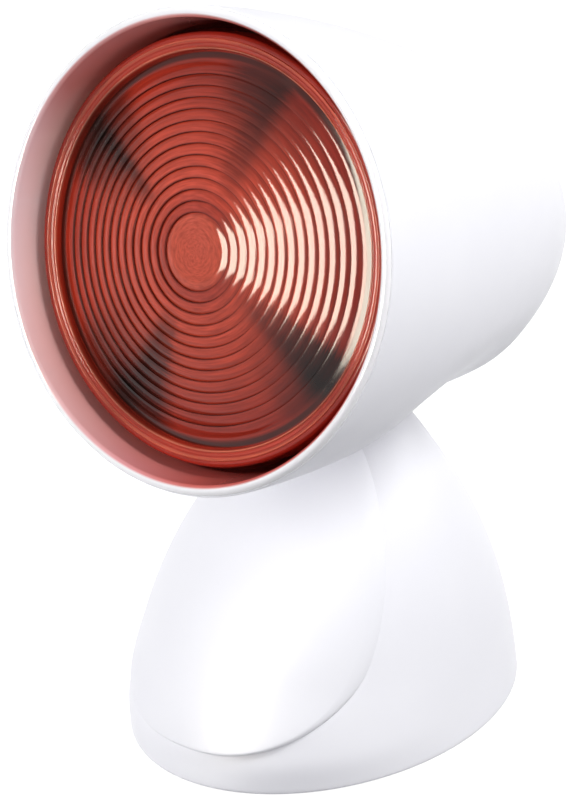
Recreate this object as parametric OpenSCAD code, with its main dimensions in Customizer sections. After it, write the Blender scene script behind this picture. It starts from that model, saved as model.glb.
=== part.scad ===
// Infrared heat therapy lamp: a red reflector bulb in a bell shade that tilts on a hollow stand.
// Millimetres. +Z is up, the lamp faces -Y, and the origin is on the table under its middle.

/* [Shade] */
// Height of the centre of the rim above the table
rim_height = 166; // [160:1:176]
// How far the centre of the rim stands in front of the origin
rim_forward = 70.5; // [60:0.5:80]
// Upward pitch of the rim, in degrees
rim_pitch = 14.2; // [10:0.2:18]
// How much less the bell behind the rim is pitched, in degrees
bell_skew = 1.04; // [0:0.02:2]
// Room between the bulb's widest place and the outside of the rim
mouth_room = 7.5; // [7:0.1:10]
// Depth of the bell along its axis
shade_depth = 162; // [158:1:175]
// Power of the depth term in the bell's outline
bell_depth_power = 1.54; // [1.45:0.01:1.7]
// Power of the radius term in the bell's outline
bell_radius_power = 2.25; // [2.1:0.01:2.5]
// Wall of the bell
shade_wall = 2.2; // [1.8:0.1:3]
// How far behind the rim the shallow scoop in each lower cheek is centred
scoop_back = 78; // [60:1:90]
// Angle of each scoop from straight down, in degrees
scoop_angle = 40; // [35:1:50]
// Depth of each scoop
scoop_depth = 4.7; // [2:0.1:5]
// Radius of the ball that forms each scoop
scoop_ball_r = 140; // [110:5:200]
// Number of vent slots at the back
vent_count = 7; // [3:2:7]
// Width of a vent slot
vent_w = 3; // [2:0.1:3.5]
// Distance between vent slots
vent_pitch = 6; // [5:0.1:6.5]
// Radius of the round field that the vent slots fill
vent_field_r = 25; // [22:1:27]

/* [Inner shade] */
// Thickness of the liner
liner_wall = 1.2; // [0.8:0.1:1.6]
// Depth of the rounded lip in front of the bell's edge
lip_depth = 1.6; // [1.2:0.1:2.4]
// How far the lip is set in from the bell's outside
lip_step = 0.5; // [0.2:0.1:1]
// Assembly gap between the liner's front and the bell
liner_fit = 0.15; // [0.1:0.05:0.3]
// Gap between the bulb's widest place and the liner's throat
throat_gap = 2.2; // [2:0.1:2.6]
// Gap between the bulb's glass and the liner behind the widest place
liner_gap = 3.5; // [3:0.1:3.8]
// Depth of the liner behind the rim
liner_depth = 62; // [50:1:68]

/* [Bulb] */
// Largest radius of the bulb's glass
bulb_r = 60.5; // [58:0.5:64]
// How far the middle of the lens is behind the rim
lens_back = 3.3; // [2:0.1:6]
// How far the lens falls back from its middle to its ringed edge
lens_sag = 6; // [4:0.1:8]
// Width of the plain band and rounded edge round the lens's rings
lens_margin = 8.5; // [7.5:0.5:12]
// Radius of the plain disc in the middle of the lens
lens_disc_r = 10.9; // [8:0.1:14]
// Distance between the lens rings
ring_pitch = 3.16; // [2.6:0.02:4]
// Depth of a lens groove
ring_depth = 0.55; // [0.3:0.05:0.8]
// Thickness of the lens
lens_t = 3; // [2:0.1:4]
// Radius of the lens's rounded edge
lens_edge_r = 6; // [4:0.1:6.5]
// Step from the rings' outer end back to the rounded edge
lens_edge_step = 1.2; // [1:0.1:2]
// Length of the plain glass between the rounded edge and the seam
seam_back = 2; // [1:0.1:3]
// Thickness of the reflector's glass
glass_t = 2.2; // [1.5:0.1:3]
// Depth of the reflector behind its seam with the lens
reflector_depth = 68.8; // [66:0.1:71]
// Radius of the reflector's neck
bulb_neck_r = 20.3; // [19:0.1:21]
// Length of the neck's plain part
bulb_neck_len = 6; // [4:0.5:8]
// Length of the neck's tapered part
bulb_taper_len = 13; // [11:0.5:15]
// Radius of the threaded cap over its crests
cap_r = 13.15; // [12.9:0.05:13.2]
// Step from the cap out to the bulb's collar
collar_step = 1.1; // [0.9:0.1:1.3]
// Depth of the cap's thread
cap_thread_depth = 0.65; // [0.4:0.05:0.8]
// Pitch of the cap's thread
cap_pitch = 3.63; // [3:0.01:4]
// Length of the cap's shell
cap_len = 23.5; // [22:0.5:25]
// Thickness of the cap's sheet
cap_sheet = 0.5; // [0.3:0.05:0.7]
// Height of the black insulator behind the cap
cap_insulator_h = 3.5; // [3:0.1:4]
// Height of the centre contact
cap_tip_h = 1.8; // [1.4:0.1:2.2]
// Radius of the filament's ring
filament_r = 5; // [4:0.1:7]
// Radius of the filament's coil
coil_r = 0.7; // [0.5:0.05:0.9]

/* [Lamp holder and chassis] */
// Outer radius of the ceramic holder
holder_r = 19.5; // [18:0.1:20]
// Gap between the bulb's collar and the holder's mouth
holder_gap = 1.5; // [1:0.1:2]
// Thickness of the holder's closed end
holder_floor = 8; // [7:0.5:8.5]
// Running clearance of the cap in its sleeve
sleeve_fit = 0.08; // [0.05:0.01:0.1]
// Thickness of the brass sleeve
sleeve_t = 0.75; // [0.5:0.05:1]
// Thickness and radius of the brass centre contact
contact_t = 0.8; // [0.6:0.1:1]
contact_r = 4.5; // [4:0.1:5]
// Thickness of the steel chassis
chassis_t = 1.5; // [1.2:0.1:2]
// How far the chassis plate is behind the holder's mouth
chassis_set = 8.5; // [7:0.5:10]
// How far the three chassis screws stand inside the bell's wall
post_inset = 10; // [9.5:0.1:11.5]
// Radius of a screw post
screw_post_r = 3.5; // [3:0.1:3.8]
// Thickness of the ring nut on the holder
ring_nut_h = 4; // [3:0.5:5]
// Width of the ring nut's rim and of the holder's collar
collar_w = 3; // [2.5:0.1:3.5]
// Width of the chassis plate outside the collar
plate_rim = 6.5; // [6:0.1:7]
// Distance of each terminal screw from the holder's axis
terminal_x = 9; // [8:0.1:10]
// Radius of a terminal screw and of its head
terminal_r = 2; // [1.6:0.1:2.2]
terminal_head_r = 2.8; // [2.6:0.1:3]

/* [Tilt pivot] */
// How far the tilt axle is behind the rim's centre, along the bulb's axis
pivot_back = 91; // [88:0.5:95]
// How far the tilt axle is inside the bell's outside
axle_inset = 15.7; // [15:0.1:17.5]
// How far the head tips up from rest, in degrees
tilt_up = 20; // [10:1:22]
// How far the head tips down from rest, in degrees
tilt_down = 10; // [5:1:12]
// Radius of the hollow axle
axle_r = 4; // [3.5:0.1:4.4]
// Radius of the axle's bore
axle_bore_r = 2.6; // [2.2:0.1:2.8]
// Running clearance round the axle
axle_fit = 0.05; // [0.02:0.01:0.1]
// Radius of the neck's barrel
barrel_r = 9; // [8:0.1:9.5]
// Half of the barrel's width
barrel_half_w = 10; // [9:0.1:10.5]
// Half of the neck's depth from front to back
neck_half_d = 6.5; // [5.8:0.1:7]
// Radius of the chassis ears
ear_r = 7.5; // [7:0.1:8]
// Thickness of a friction washer
friction_t = 1; // [0.6:0.1:1.2]
// Thickness of a spring washer
spring_t = 0.8; // [0.5:0.1:1]
// Distance across the flats of an axle nut
nut_flats = 12; // [11:0.1:12.4]
// Thickness of an axle nut
nut_h = 3.5; // [3:0.1:3.8]
// Side play of the barrel between the friction washers
side_play = 0.05; // [0.02:0.01:0.1]
// Gap between the moving head and the stand
head_gap = 0.8; // [0.6:0.1:1.2]

/* [Stand] */
// Height of the stand's bottom edge above the table
shell_lift = 1; // [0.6:0.1:1.4]
// How far the stand's top ends below the tilt axle
neck_rise = 10; // [9:0.5:12]
// Half width of the stand at the table
foot_half_w = 52.5; // [48:0.5:60]
// Half width that the lower side bends towards
low_half_w = 48.5; // [46:0.5:55]
// Half width that the upper side bends towards
high_half_w = 46; // [42:0.5:50]
// Half width of the stand's top
top_half_w = 19; // [17:0.5:22]
// Reach of the stand in front of the axle at the table
foot_front = 85.2; // [80:0.1:92]
// Front reach that the lower front bends towards
low_front = 80.7; // [78:0.1:86]
// Front reach that the upper front bends towards
high_front = 56.7; // [54:0.1:60]
// Front reach of the stand's top
top_front = 13.7; // [13:0.1:16]
// Reach of the stand behind the axle at the table
foot_back = 53.8; // [50:0.1:62]
// Back reach that the lower back bends towards
low_back = 52.8; // [48:0.1:58]
// Back reach that the upper back bends towards
high_back = 33.8; // [30:0.1:36]
// Back reach of the stand's top
top_back = 6.3; // [5:0.1:8]
// Share of the depth that is in front of the widest place, at the table
middle_low = 0.51; // [0.48:0.01:0.54]
// The same share at the top
middle_high = 0.4; // [0.38:0.01:0.5]
// Wall of the stand
stand_wall = 2.4; // [2:0.1:2.8]

/* [Front corners] */
// How much squarer than an oval the front corners are at their fullest
corner_fullness = 0.2; // [0:0.02:0.3]
// Height of the fullest place
corner_z = 12; // [10:0.5:16]
// Height at which the corners are a plain oval again
corner_top = 34; // [30:1:50]

/* [Front leaf] */
// How far the leaf stands proud of the stand
leaf_t = 2.5; // [1.8:0.1:3]
// Height of the leaf's lower tip
leaf_low = 12; // [9:0.5:15]
// Height of the leaf's widest place
leaf_wide_z = 38; // [34:0.5:42]
// Height of the leaf's upper tip
leaf_high = 96; // [92:0.5:98]
// Half of the leaf's width
leaf_half_w = 40; // [36:0.5:41]
// Roundness of the leaf's lower end
leaf_low_power = 2.5; // [2.1:0.1:2.8]
// Roundness of the leaf's upper end
leaf_high_power = 1.8; // [1.7:0.1:2.2]
// Assembly gap behind the leaf
leaf_gap = 0.3; // [0.25:0.05:0.4]
// Heights of the leaf's lower and upper pegs
leaf_peg_low = 30; // [26:1:34]
leaf_peg_high = 62; // [56:1:66]
// Radius of a peg
leaf_peg_r = 3; // [2.5:0.1:3.5]
// Gap round a peg in the stand's boss
peg_fit = 0.2; // [0.15:0.05:0.3]
// Wall of the boss round a peg, and the boss's length
boss_wall = 3; // [2.5:0.1:3.5]
leaf_boss_len = 9; // [8:0.5:11]

/* [Base] */
// Thickness of the base plate
plate_t = 2.4; // [2:0.1:3]
// How far the base plate is set up inside the stand's edge
plate_set = 0.6; // [0.4:0.1:1]
// Gap round the base plate
plate_gap = 0.3; // [0.2:0.1:0.5]
// Radius of a rubber foot
foot_r = 7; // [6:0.1:8]
// Depth of a foot's pocket in the base plate
foot_pocket = 1; // [0.8:0.1:1.2]
// Half distance between the front feet
front_foot_x = 24; // [20:0.5:26]
// Front feet: distance in front of the axle
front_foot_y = 61; // [56:0.5:63]
// Half distance between the back feet
back_foot_x = 20; // [19:0.5:22]
// Back feet: distance behind the axle
back_foot_y = 37; // [34:0.5:38]
// Radius of a screw tower
tower_r = 4; // [3.6:0.1:4.4]
// Half distance between the front towers
front_tower_x = 30; // [28:0.5:32]
// Front towers: distance in front of the axle
front_tower_y = 42; // [40:0.5:44]
// Half distance between the back towers
back_tower_x = 28; // [26:0.5:30]
// Back towers: distance behind the axle
back_tower_y = 19.5; // [19:0.5:22]
// Radius of the steel ballast
ballast_r = 29; // [26:0.5:30]
// Thickness of the ballast
ballast_t = 10; // [8:0.5:10]
// Ballast: distance of its middle in front of the axle
ballast_y = 14.5; // [12:0.5:18]
// Half distance between the ballast posts
ballast_post_x = 18; // [15:0.5:20]
// Radius of a ballast post
ballast_post_r = 3.2; // [2.8:0.1:3.5]
// Depth of a screw head's pocket in the base plate
counterbore = 1.4; // [1.2:0.1:1.6]
// Half distance between the posts of the cord clamp
clamp_x = 7.5; // [7:0.1:8]
// Radius and height of those posts
clamp_post_r = 3; // [2.6:0.1:3.2]
clamp_post_h = 5.5; // [5:0.1:6]
// Thickness of the cord clamp
clamp_t = 3; // [2.5:0.1:3.5]
// Width, depth and height of the terminal block
block_w = 24; // [22:0.5:26]
block_d = 16; // [15:0.5:17]
block_h = 13; // [12:0.5:14]
// Half distance between its two poles
pole_x = 6; // [5.5:0.1:6.5]
// Height of a pole's bore above the base plate
pole_rise = 5; // [4.5:0.1:5.5]
// Radius of a pole's bore
pole_r = 1.7; // [1.5:0.1:1.9]

/* [Neck post] */
// How far below the axle the post's flange is
flange_drop = 47; // [44:0.5:50]
// Thickness of the flange
flange_t = 4; // [3:0.5:5]
// Half distance between the flange screws, side to side
flange_screw_x = 26; // [24:0.5:27]
// Half distance between the flange screws, front to back
flange_screw_y = 8; // [7:0.5:9]
// Radius of the lead channel in the neck
channel_r = 3.8; // [3.4:0.1:4]

/* [Switch and cord inlet] */
// Height of the switch on the back
switch_z = 28; // [27:0.5:31]
// Lean of the switch from upright, in degrees
switch_lean = 18.5; // [15:0.5:21]
// Depth of the flat seat round the switch
seat_depth = 2.5; // [2:0.1:3]
// Width and height of the switch bezel
bezel_w = 22; // [21:0.5:23]
bezel_h = 16; // [15:0.5:17]
// Thickness of the bezel
bezel_t = 1.8; // [1.4:0.1:2.2]
// Width and height of the switch body
switch_w = 19.2; // [18:0.1:19.6]
switch_h = 13; // [12.6:0.1:13.4]
// Depth of the switch body
switch_d = 12; // [10:0.5:13]
// Width of the rocker
rocker_w = 14.4; // [13:0.1:14.6]
// Radius of the rocker's ends about its pin
rocker_r = 5.6; // [5.2:0.05:5.7]
// Height of the rocker's middle above its pin
rocker_rise = 2.9; // [2.6:0.1:3.2]
// Whole travel of the rocker, in degrees
rocker_travel = 14; // [10:1:16]
// Gap round the rocker
rocker_gap = 0.2; // [0.15:0.05:0.3]
// Radius of the rocker's pins
rocker_pin_r = 1.2; // [1:0.1:1.4]
// Length of a pin, and the clearance round it and past its end
rocker_pin_len = 1; // [0.8:0.1:1.2]
pin_fit = 0.05; // [0.02:0.01:0.1]
// Depth of the pins' middle below the switch's seat
rocker_pin_drop = 1; // [0.8:0.1:1.2]
// Width, length and side distance of a terminal blade
blade_w = 4.8; // [4:0.1:5]
blade_len = 8; // [7:0.5:9]
blade_x = 4; // [3.5:0.1:5]
// Thickness of a terminal blade
blade_t = 0.8; // [0.6:0.1:1]
// Height of the cord inlet
inlet_z = 11.5; // [11:0.1:12]
// Radius of the cord inlet's bore
inlet_r = 3.6; // [3:0.1:4]
// Radius of the inlet's collar
inlet_collar_r = 7; // [6.6:0.1:7]
// Depth of the flat seat round the collar
collar_seat = 1.4; // [1.2:0.1:1.8]
// Thickness of the collar, and of the ring that locks it from inside
collar_t = 2.5; // [2:0.1:3]
lock_t = 1.8; // [1.5:0.1:2.2]

/* [Screws and leads] */
// Radius of a self-tapping screw
screw_r = 1.4; // [1.2:0.05:1.5]
// Radius of a screw head
screw_head_r = 3; // [2.6:0.1:3.2]
// Height of a screw head
screw_head_h = 1.6; // [1.2:0.1:2]
// How deep a screw bites into its post
screw_bite = 9; // [7:0.5:10]
// Clearance of a through hole round its screw
hole_fit = 0.2; // [0.15:0.05:0.3]
// How far a screw's tip stays short of the far side of its post
tip_room = 1; // [0.8:0.1:1.5]
// Radius of an insulated lead
lead_r = 0.9; // [0.7:0.05:1]
// Gap between a lead's end and what it meets
lead_gap = 0.1; // [0.08:0.02:0.2]

/* [Hidden] */
$fn = 64;
white = "#f4f3f6";
big = 400;

shade_r = bulb_r + mouth_room;
rings_r = bulb_r - lens_margin;

// Where the tilt axle lies, seen from the side
pivot_drop = bell_radius(pivot_back) - axle_inset;
pivot_y = -rim_forward + pivot_back * cos(rim_pitch) - pivot_drop * sin(rim_pitch);
pivot_z = rim_height - pivot_back * sin(rim_pitch) - pivot_drop * cos(rim_pitch);
stand_top = pivot_z - neck_rise;

// ---- Shared helpers ----

// The bulb's frame: origin at the rim's centre, +Z back along the bulb, +Y down
module at_head()
    translate([0, -rim_forward, rim_height])
        rotate([-90 - rim_pitch, 0, 0])
            children();

// The bell's own axis, a little less pitched
module at_bell()
    at_head()
        rotate([bell_skew, 0, 0])
            children();

// The tilt axle's frame, turned about X
module at_pivot(angle = 0)
    translate([0, pivot_y, pivot_z])
        rotate([angle, 0, 0])
            children();

// A cylinder along X, from x0 to x1
module along_x(r, x0, x1, sides = 64)
    translate([x0, 0, 0])
        rotate([0, 90, 0])
            cylinder(r = r, h = x1 - x0, $fn = sides);

// A cylinder along Y, from y0 to y1
module along_y(r, y0, y1)
    translate([0, y1, 0])
        rotate([90, 0, 0])
            cylinder(r = r, h = y1 - y0);

// A tube about Z, from z0 to z1
module ring(outer_r, inner_r, z0, z1)
    translate([0, 0, z0])
        difference() {
            cylinder(r = outer_r, h = z1 - z0);
            translate([0, 0, -1])
                cylinder(r = inner_r, h = z1 - z0 + 2);
        }

module both_sides() {
    children();
    mirror([1, 0, 0])
        children();
}

// A pan-head screw with a cross recess: the head's underside is at 0 and the shank points to -Z
module screw(bite, r = screw_r, head_r = screw_head_r, head_h = screw_head_h) {
    recess = head_r * 0.35;
    difference() {
        cylinder(r = head_r, h = head_h);
        for (turn = [0, 90])
            rotate([0, 0, turn])
                translate([-head_r * 0.6, -recess / 2, head_h / 2])
                    cube([head_r * 1.2, recess, head_h]);
    }
    translate([0, 0, -bite])
        cylinder(r = r, h = bite);
}

// ---- The bell's outline: (r / shade_r)^a + (s / shade_depth)^b = 1 ----

bell_steps = 24;
bell_front = 3;

function bell_point(u) = [
    shade_r * pow(cos(u), 2 / bell_radius_power),
    shade_depth * pow(sin(u), 2 / bell_depth_power)];

function bell_radius(s) =
    shade_r * pow(1 - pow(s / shade_depth, bell_depth_power), 1 / bell_radius_power);

function bell_slope(s) = (bell_radius(s + 0.5) - bell_radius(s - 0.5));

// Unit outward normal at step i, as [radial, axial]
function bell_normal(i) =
    i == 0 ? [1, 0] :
    i == bell_steps ? [0, 1] :
    let (d = bell_point(90 * (i + 1) / bell_steps) - bell_point(90 * (i - 1) / bell_steps))
        [d[1], -d[0]] / norm(d);

function bell_outline(grow) = concat(
    [[0, -bell_front], [shade_r + grow, -bell_front]],
    [for (i = [0:bell_steps]) bell_point(90 * i / bell_steps) + grow * bell_normal(i)]);

module bell(grow)
    at_bell()
        rotate_extrude()
            polygon(bell_outline(grow));

// The balls that form the shallow scoops in the lower cheeks
module scoops(grow) {
    tilt = atan(-bell_slope(scoop_back));
    reach = scoop_ball_r - scoop_depth;
    at_bell()
        for (side = [-1, 1])
            rotate([0, 0, 90 - side * scoop_angle])
                translate([bell_radius(scoop_back) + reach * cos(tilt), 0,
                    scoop_back + reach * sin(tilt)])
                    sphere(r = scoop_ball_r - grow, $fn = 128);
}

module head_form(grow)
    difference() {
        bell(grow);
        scoops(grow);
    }

// The head's form at several turns over its whole tilt
module over_the_tilt(steps)
    for (i = [0:steps])
        at_pivot(tilt_down - (tilt_down + tilt_up) * i / steps)
            translate([0, -pivot_y, -pivot_z])
                children();

// ---- Places along the bulb's axis, measured back from the rim ----

lens_edge_s = lens_back + lens_sag + lens_edge_r + lens_edge_step;
bulb_seam_s = lens_edge_s + seam_back;
reflector_focus = (bulb_r * bulb_r - bulb_neck_r * bulb_neck_r) / (4 * reflector_depth);
neck_start_s = bulb_seam_s + reflector_depth;
neck_end_s = neck_start_s + bulb_neck_len;
bulb_cap_s = neck_end_s + bulb_taper_len;
cap_end_s = bulb_cap_s + cap_len;
cap_tip_s = cap_end_s + cap_insulator_h + cap_tip_h;
holder_s = bulb_cap_s + holder_gap;
holder_floor_s = cap_tip_s + lead_gap + contact_t;
holder_end_s = holder_floor_s + holder_floor;
chassis_s = holder_s + chassis_set;
chassis_screw_circle = bell_radius(chassis_s) - shade_wall - post_inset;
skirt_r = cap_r + collar_step;
sleeve_r = cap_r + sleeve_fit;
focus_s = neck_start_s + bulb_neck_r * bulb_neck_r / (4 * reflector_focus) - reflector_focus;

function reflector_r(s) =
    sqrt(bulb_r * bulb_r - 4 * reflector_focus * (s - bulb_seam_s));

// ---- Head ----

module chassis_screw_places()
    for (a = [90, 210, 330])
        translate([chassis_screw_circle * cos(a), -chassis_screw_circle * sin(a), 0])
            children();

module vent_slots() {
    outer = (vent_count - 1) / 2;
    at_bell()
        for (i = [-outer:outer]) {
            x = i * vent_pitch;
            half = sqrt(vent_field_r * vent_field_r - x * x) - vent_w / 2;
            translate([x - vent_w / 2, -half, chassis_s + 10])
                cube([vent_w, 2 * half, big]);
            for (end = [-half, half])
                translate([x, end, chassis_s + 10])
                    cylinder(r = vent_w / 2, h = big);
        }
}

// The slot that lets the neck swing
module neck_slot() {
    half_w = barrel_half_w + head_gap;
    half_d = neck_half_d + head_gap;
    at_pivot()
        translate([-half_w, 0, 0])
            rotate([90, 0, 90])
                linear_extrude(2 * half_w)
                    for (turn = [tilt_up, -tilt_down])
                        rotate(turn)
                            translate([-half_d, -shade_r])
                                square([2 * half_d, shade_r]);
}

module shade_shell() {
    color(white)
        difference() {
            union() {
                difference() {
                    head_form(0);
                    head_form(-shade_wall);
                }
                intersection() {
                    bell(-shade_wall / 2);
                    at_head()
                        chassis_screw_places()
                            translate([0, 0, chassis_s + chassis_t])
                                cylinder(r = screw_post_r, h = shade_depth);
                }
            }
            at_head()
                translate([-big / 2, -big / 2, lip_depth - big])
                    cube(big);
            at_head()
                chassis_screw_places()
                    translate([0, 0, chassis_s])
                        cylinder(r = screw_r, h = chassis_t + screw_bite);
            neck_slot();
            vent_slots();
        }
}

// The liner: a rounded lip, a slightly tapered throat, then a bowl that follows the bulb
liner_r = shade_r - shade_wall - liner_fit;
throat_r = bulb_r + throat_gap;
throat_s = bulb_seam_s + 1;
lip_outer_r = shade_r - lip_step;
lip_inner_r = liner_r - liner_wall;
lip_bead_r = (lip_outer_r - lip_inner_r) / 2;

function liner_bowl(grow) = [
    for (i = [0:6])
        let (s = throat_s + 4 + (liner_depth - throat_s - 4) * i / 6)
            [reflector_r(s) + liner_gap + grow, s]];

module inner_shade() {
    lip_arc = [for (a = [0:15:180]) [
        lip_outer_r - lip_bead_r + lip_bead_r * cos(a),
        lip_depth * (1 - sin(a))]];
    inside = concat([[throat_r, throat_s]], liner_bowl(0));
    outside = concat([[throat_r + liner_wall, throat_s]], liner_bowl(liner_wall));
    back = [for (i = [len(outside) - 1:-1:0]) outside[i]];
    color(white)
        at_head()
            rotate_extrude()
                polygon(concat(lip_arc, inside, back, [[liner_r, lip_depth]]));
}

// One ear of the chassis, in the plane through the bulb's axis
module chassis_ear()
    translate([barrel_half_w + side_play + friction_t, 0, 0])
        rotate([90, 0, 90])
            linear_extrude(chassis_t)
                difference() {
                    union() {
                        translate([pivot_drop, pivot_back])
                            circle(r = ear_r);
                        polygon([
                            [holder_r + collar_w - 0.5, chassis_s + chassis_t],
                            [pivot_drop - 4, chassis_s + chassis_t],
                            [pivot_drop + ear_r - 0.2, pivot_back + 1.5],
                            [pivot_drop, pivot_back],
                            [pivot_drop - ear_r + 0.2, pivot_back + 1.5]]);
                    }
                    translate([pivot_drop, pivot_back])
                        circle(r = axle_r);
                }

module head_chassis() {
    lug_r = screw_post_r + chassis_t;
    tab_w = barrel_half_w + side_play + friction_t + chassis_t;
    color("silver")
        at_head()
            union() {
                translate([0, 0, chassis_s])
                    difference() {
                        union() {
                            cylinder(r = holder_r + collar_w + plate_rim, h = chassis_t);
                            chassis_screw_places()
                                cylinder(r = lug_r, h = chassis_t);
                            translate([-tab_w, 0, 0])
                                cube([2 * tab_w, pivot_drop - 4, chassis_t]);
                        }
                        translate([0, 0, -1])
                            cylinder(r = holder_r + axle_fit, h = chassis_t + 2);
                        chassis_screw_places()
                            translate([0, 0, -1])
                                cylinder(r = screw_r + hole_fit, h = chassis_t + 2);
                    }
                both_sides()
                    chassis_ear();
            }
}

module chassis_screws()
    color("gray")
        at_head()
            chassis_screw_places()
                translate([0, 0, chassis_s])
                    rotate([180, 0, 0])
                        screw(chassis_t + screw_bite);

module lamp_holder() {
    color("ivory")
        at_head()
            difference() {
                rotate_extrude()
                    polygon([
                        [skirt_r + 1, holder_s], [holder_r - 1, holder_s],
                        [holder_r, holder_s + 1], [holder_r, chassis_s - collar_w],
                        [holder_r + collar_w, chassis_s - collar_w], [holder_r + collar_w, chassis_s],
                        [holder_r, chassis_s], [holder_r, holder_end_s - 3],
                        [holder_r - 3, holder_end_s], [0, holder_end_s],
                        [0, holder_floor_s], [sleeve_r + sleeve_t, holder_floor_s],
                        [sleeve_r + sleeve_t, holder_s + 2.5]]);
                translate([0, 0, holder_floor_s - 1])
                    cylinder(r = screw_r, h = holder_floor + 2);
                for (side = [-1, 1])
                    translate([side * terminal_x, 0, holder_end_s - 5])
                        cylinder(r = terminal_r, h = 6);
            }
}

module holder_sleeve()
    color("goldenrod")
        at_head()
            ring(sleeve_r + sleeve_t, sleeve_r, holder_s + 2.5, holder_floor_s - 3);

module holder_contact()
    color("goldenrod")
        at_head() {
            translate([0, 0, cap_tip_s + lead_gap])
                cylinder(r = contact_r, h = contact_t);
            translate([0, 0, holder_floor_s])
                cylinder(r = screw_r, h = holder_floor - 1);
        }

module holder_ring()
    color("silver")
        at_head()
            difference() {
                ring(holder_r + collar_w, holder_r, chassis_s + chassis_t,
                    chassis_s + chassis_t + ring_nut_h);
                for (a = [45:90:315])
                    rotate([0, 0, a])
                        translate([holder_r + collar_w - 0.8, -2, chassis_s])
                            cube([3, 4, chassis_t + ring_nut_h + 1]);
            }

module holder_terminals()
    color("goldenrod")
        at_head()
            for (side = [-1, 1])
                translate([side * terminal_x, 0, holder_end_s])
                    screw(4.5, terminal_r, terminal_head_r);

// ---- Tilt axle ----

ear_out = barrel_half_w + side_play + friction_t + chassis_t;
nut_out = ear_out + spring_t + nut_h;
axle_half = nut_out + 1;

module tilt_axle()
    color("silver")
        at_pivot()
            difference() {
                along_x(axle_r, -axle_half, axle_half);
                along_x(axle_bore_r, -axle_half - 1, axle_half + 1);
                translate([-axle_half / 3, -axle_r, -2 * axle_r])
                    cube([2 * axle_half / 3, 2 * axle_r, 2 * axle_r]);
            }

module axle_nuts()
    color("silver")
        at_pivot()
            both_sides()
                difference() {
                    along_x(nut_flats / 2 / cos(30), nut_out - nut_h, nut_out, 6);
                    along_x(axle_r, 0, nut_out + 1);
                }

module axle_ring(outer_r, x0, x1)
    at_pivot()
        both_sides()
            difference() {
                along_x(outer_r, x0, x1);
                along_x(axle_r + axle_fit, x0 - 1, x1 + 1);
            }

module spring_washers()
    color("dimgray")
        axle_ring(nut_flats / 2, ear_out, ear_out + spring_t);

module friction_washers()
    color("tan")
        axle_ring(ear_r, barrel_half_w + side_play, barrel_half_w + side_play + friction_t);

// ---- Leads: a tube of eight sides along a smooth route ----

lead_sides = 8;
lead_steps = 3;

function bend(a, b, c, d, t) =
    0.5 * (2 * b + (c - a) * t + (2 * a - 5 * b + 4 * c - d) * t * t
        + (3 * b - a - 3 * c + d) * t * t * t);

function smooth_route(p) = concat(
    [for (i = [0:len(p) - 2], k = [0:lead_steps - 1])
        bend(p[max(i - 1, 0)], p[i], p[i + 1], p[min(i + 2, len(p) - 1)], k / lead_steps)],
    [p[len(p) - 1]]);

function heading(p, i) =
    let (d = p[min(i + 1, len(p) - 1)] - p[max(i - 1, 0)]) d / norm(d);

function square_to(v, t) = let (w = v - (v * t) * t) w / norm(w);

function side_vectors(p, v) = [
    for (i = 0, s = square_to(v, heading(p, 0)); i < len(p);
        i = i + 1, s = i < len(p) ? square_to(s, heading(p, i)) : s) s];

module lead(points, side) {
    p = smooth_route(points);
    sides = side_vectors(p, side);
    n = lead_sides;
    last = (len(p) - 1) * n;
    rings = [for (i = [0:len(p) - 1], k = [0:n - 1])
        let (a = 360 * k / n, t = heading(p, i))
            p[i] + lead_r * (cos(a) * sides[i] + sin(a) * cross(t, sides[i]))];
    walls = [for (i = [0:len(p) - 2], k = [0:n - 1], half = [0, 1])
        let (a = i * n + k, b = i * n + (k + 1) % n)
            half == 0 ? [a, a + n, b + n] : [a, b + n, b]];
    start = [[for (k = [0:n - 1]) k]];
    end = [[for (k = [n - 1:-1:0]) last + k]];
    polyhedron(points = rings, faces = concat(start, walls, end), convexity = 10);
}

// Each lead crosses from the stand to the head on the tilt axis, just outside the axle
crossing_x = axle_half + 1;

module lamp_leads() {
    end_s = holder_end_s + lead_r + lead_gap;
    end_x = terminal_x + terminal_head_r + lead_gap;
    rim_x = holder_r + collar_w;
    color("ivory")
        at_head()
            both_sides()
                lead([
                    [crossing_x + lead_gap, pivot_drop, pivot_back],
                    [crossing_x + lead_r, pivot_drop, pivot_back],
                    [crossing_x + 2 * lead_r, pivot_drop, pivot_back],
                    [crossing_x + 4 * lead_r, pivot_drop - 2 * lead_r, pivot_back + 4 * lead_r],
                    [rim_x + 2, pivot_drop - ear_r + 1, chassis_s - 18],
                    [rim_x + 2, pivot_drop - ear_r - 2, chassis_s - 8],
                    [rim_x + 1, pivot_drop - ear_r - 5, chassis_s],
                    [rim_x - 1, rim_x - 1, chassis_s + 8],
                    [rim_x - 1, 0.6 * rim_x, holder_end_s - 9],
                    [rim_x - 2, 0.4 * rim_x, end_s - 2],
                    [holder_r - 1, 4 * lead_r, end_s + lead_r],
                    [end_x + 2 * lead_r, 0, end_s],
                    [end_x + lead_r, 0, end_s],
                    [end_x, 0, end_s]], [0, 1, 0]);
}

// ---- Bulb ----

ring_count = floor((rings_r - lens_disc_r) / ring_pitch);
lens_band_r = lens_disc_r + ring_count * ring_pitch;

function lens_s(r) = lens_back + lens_sag * pow(r / rings_r, 2);

function lens_rings() = [
    for (i = [0:ring_count - 1], k = [0:2])
        let (r = lens_disc_r + i * ring_pitch + [0, 0.22, 0.7][k] * ring_pitch)
            [r, lens_s(r) + [1, 0.1, 0][k] * ring_depth]];

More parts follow.
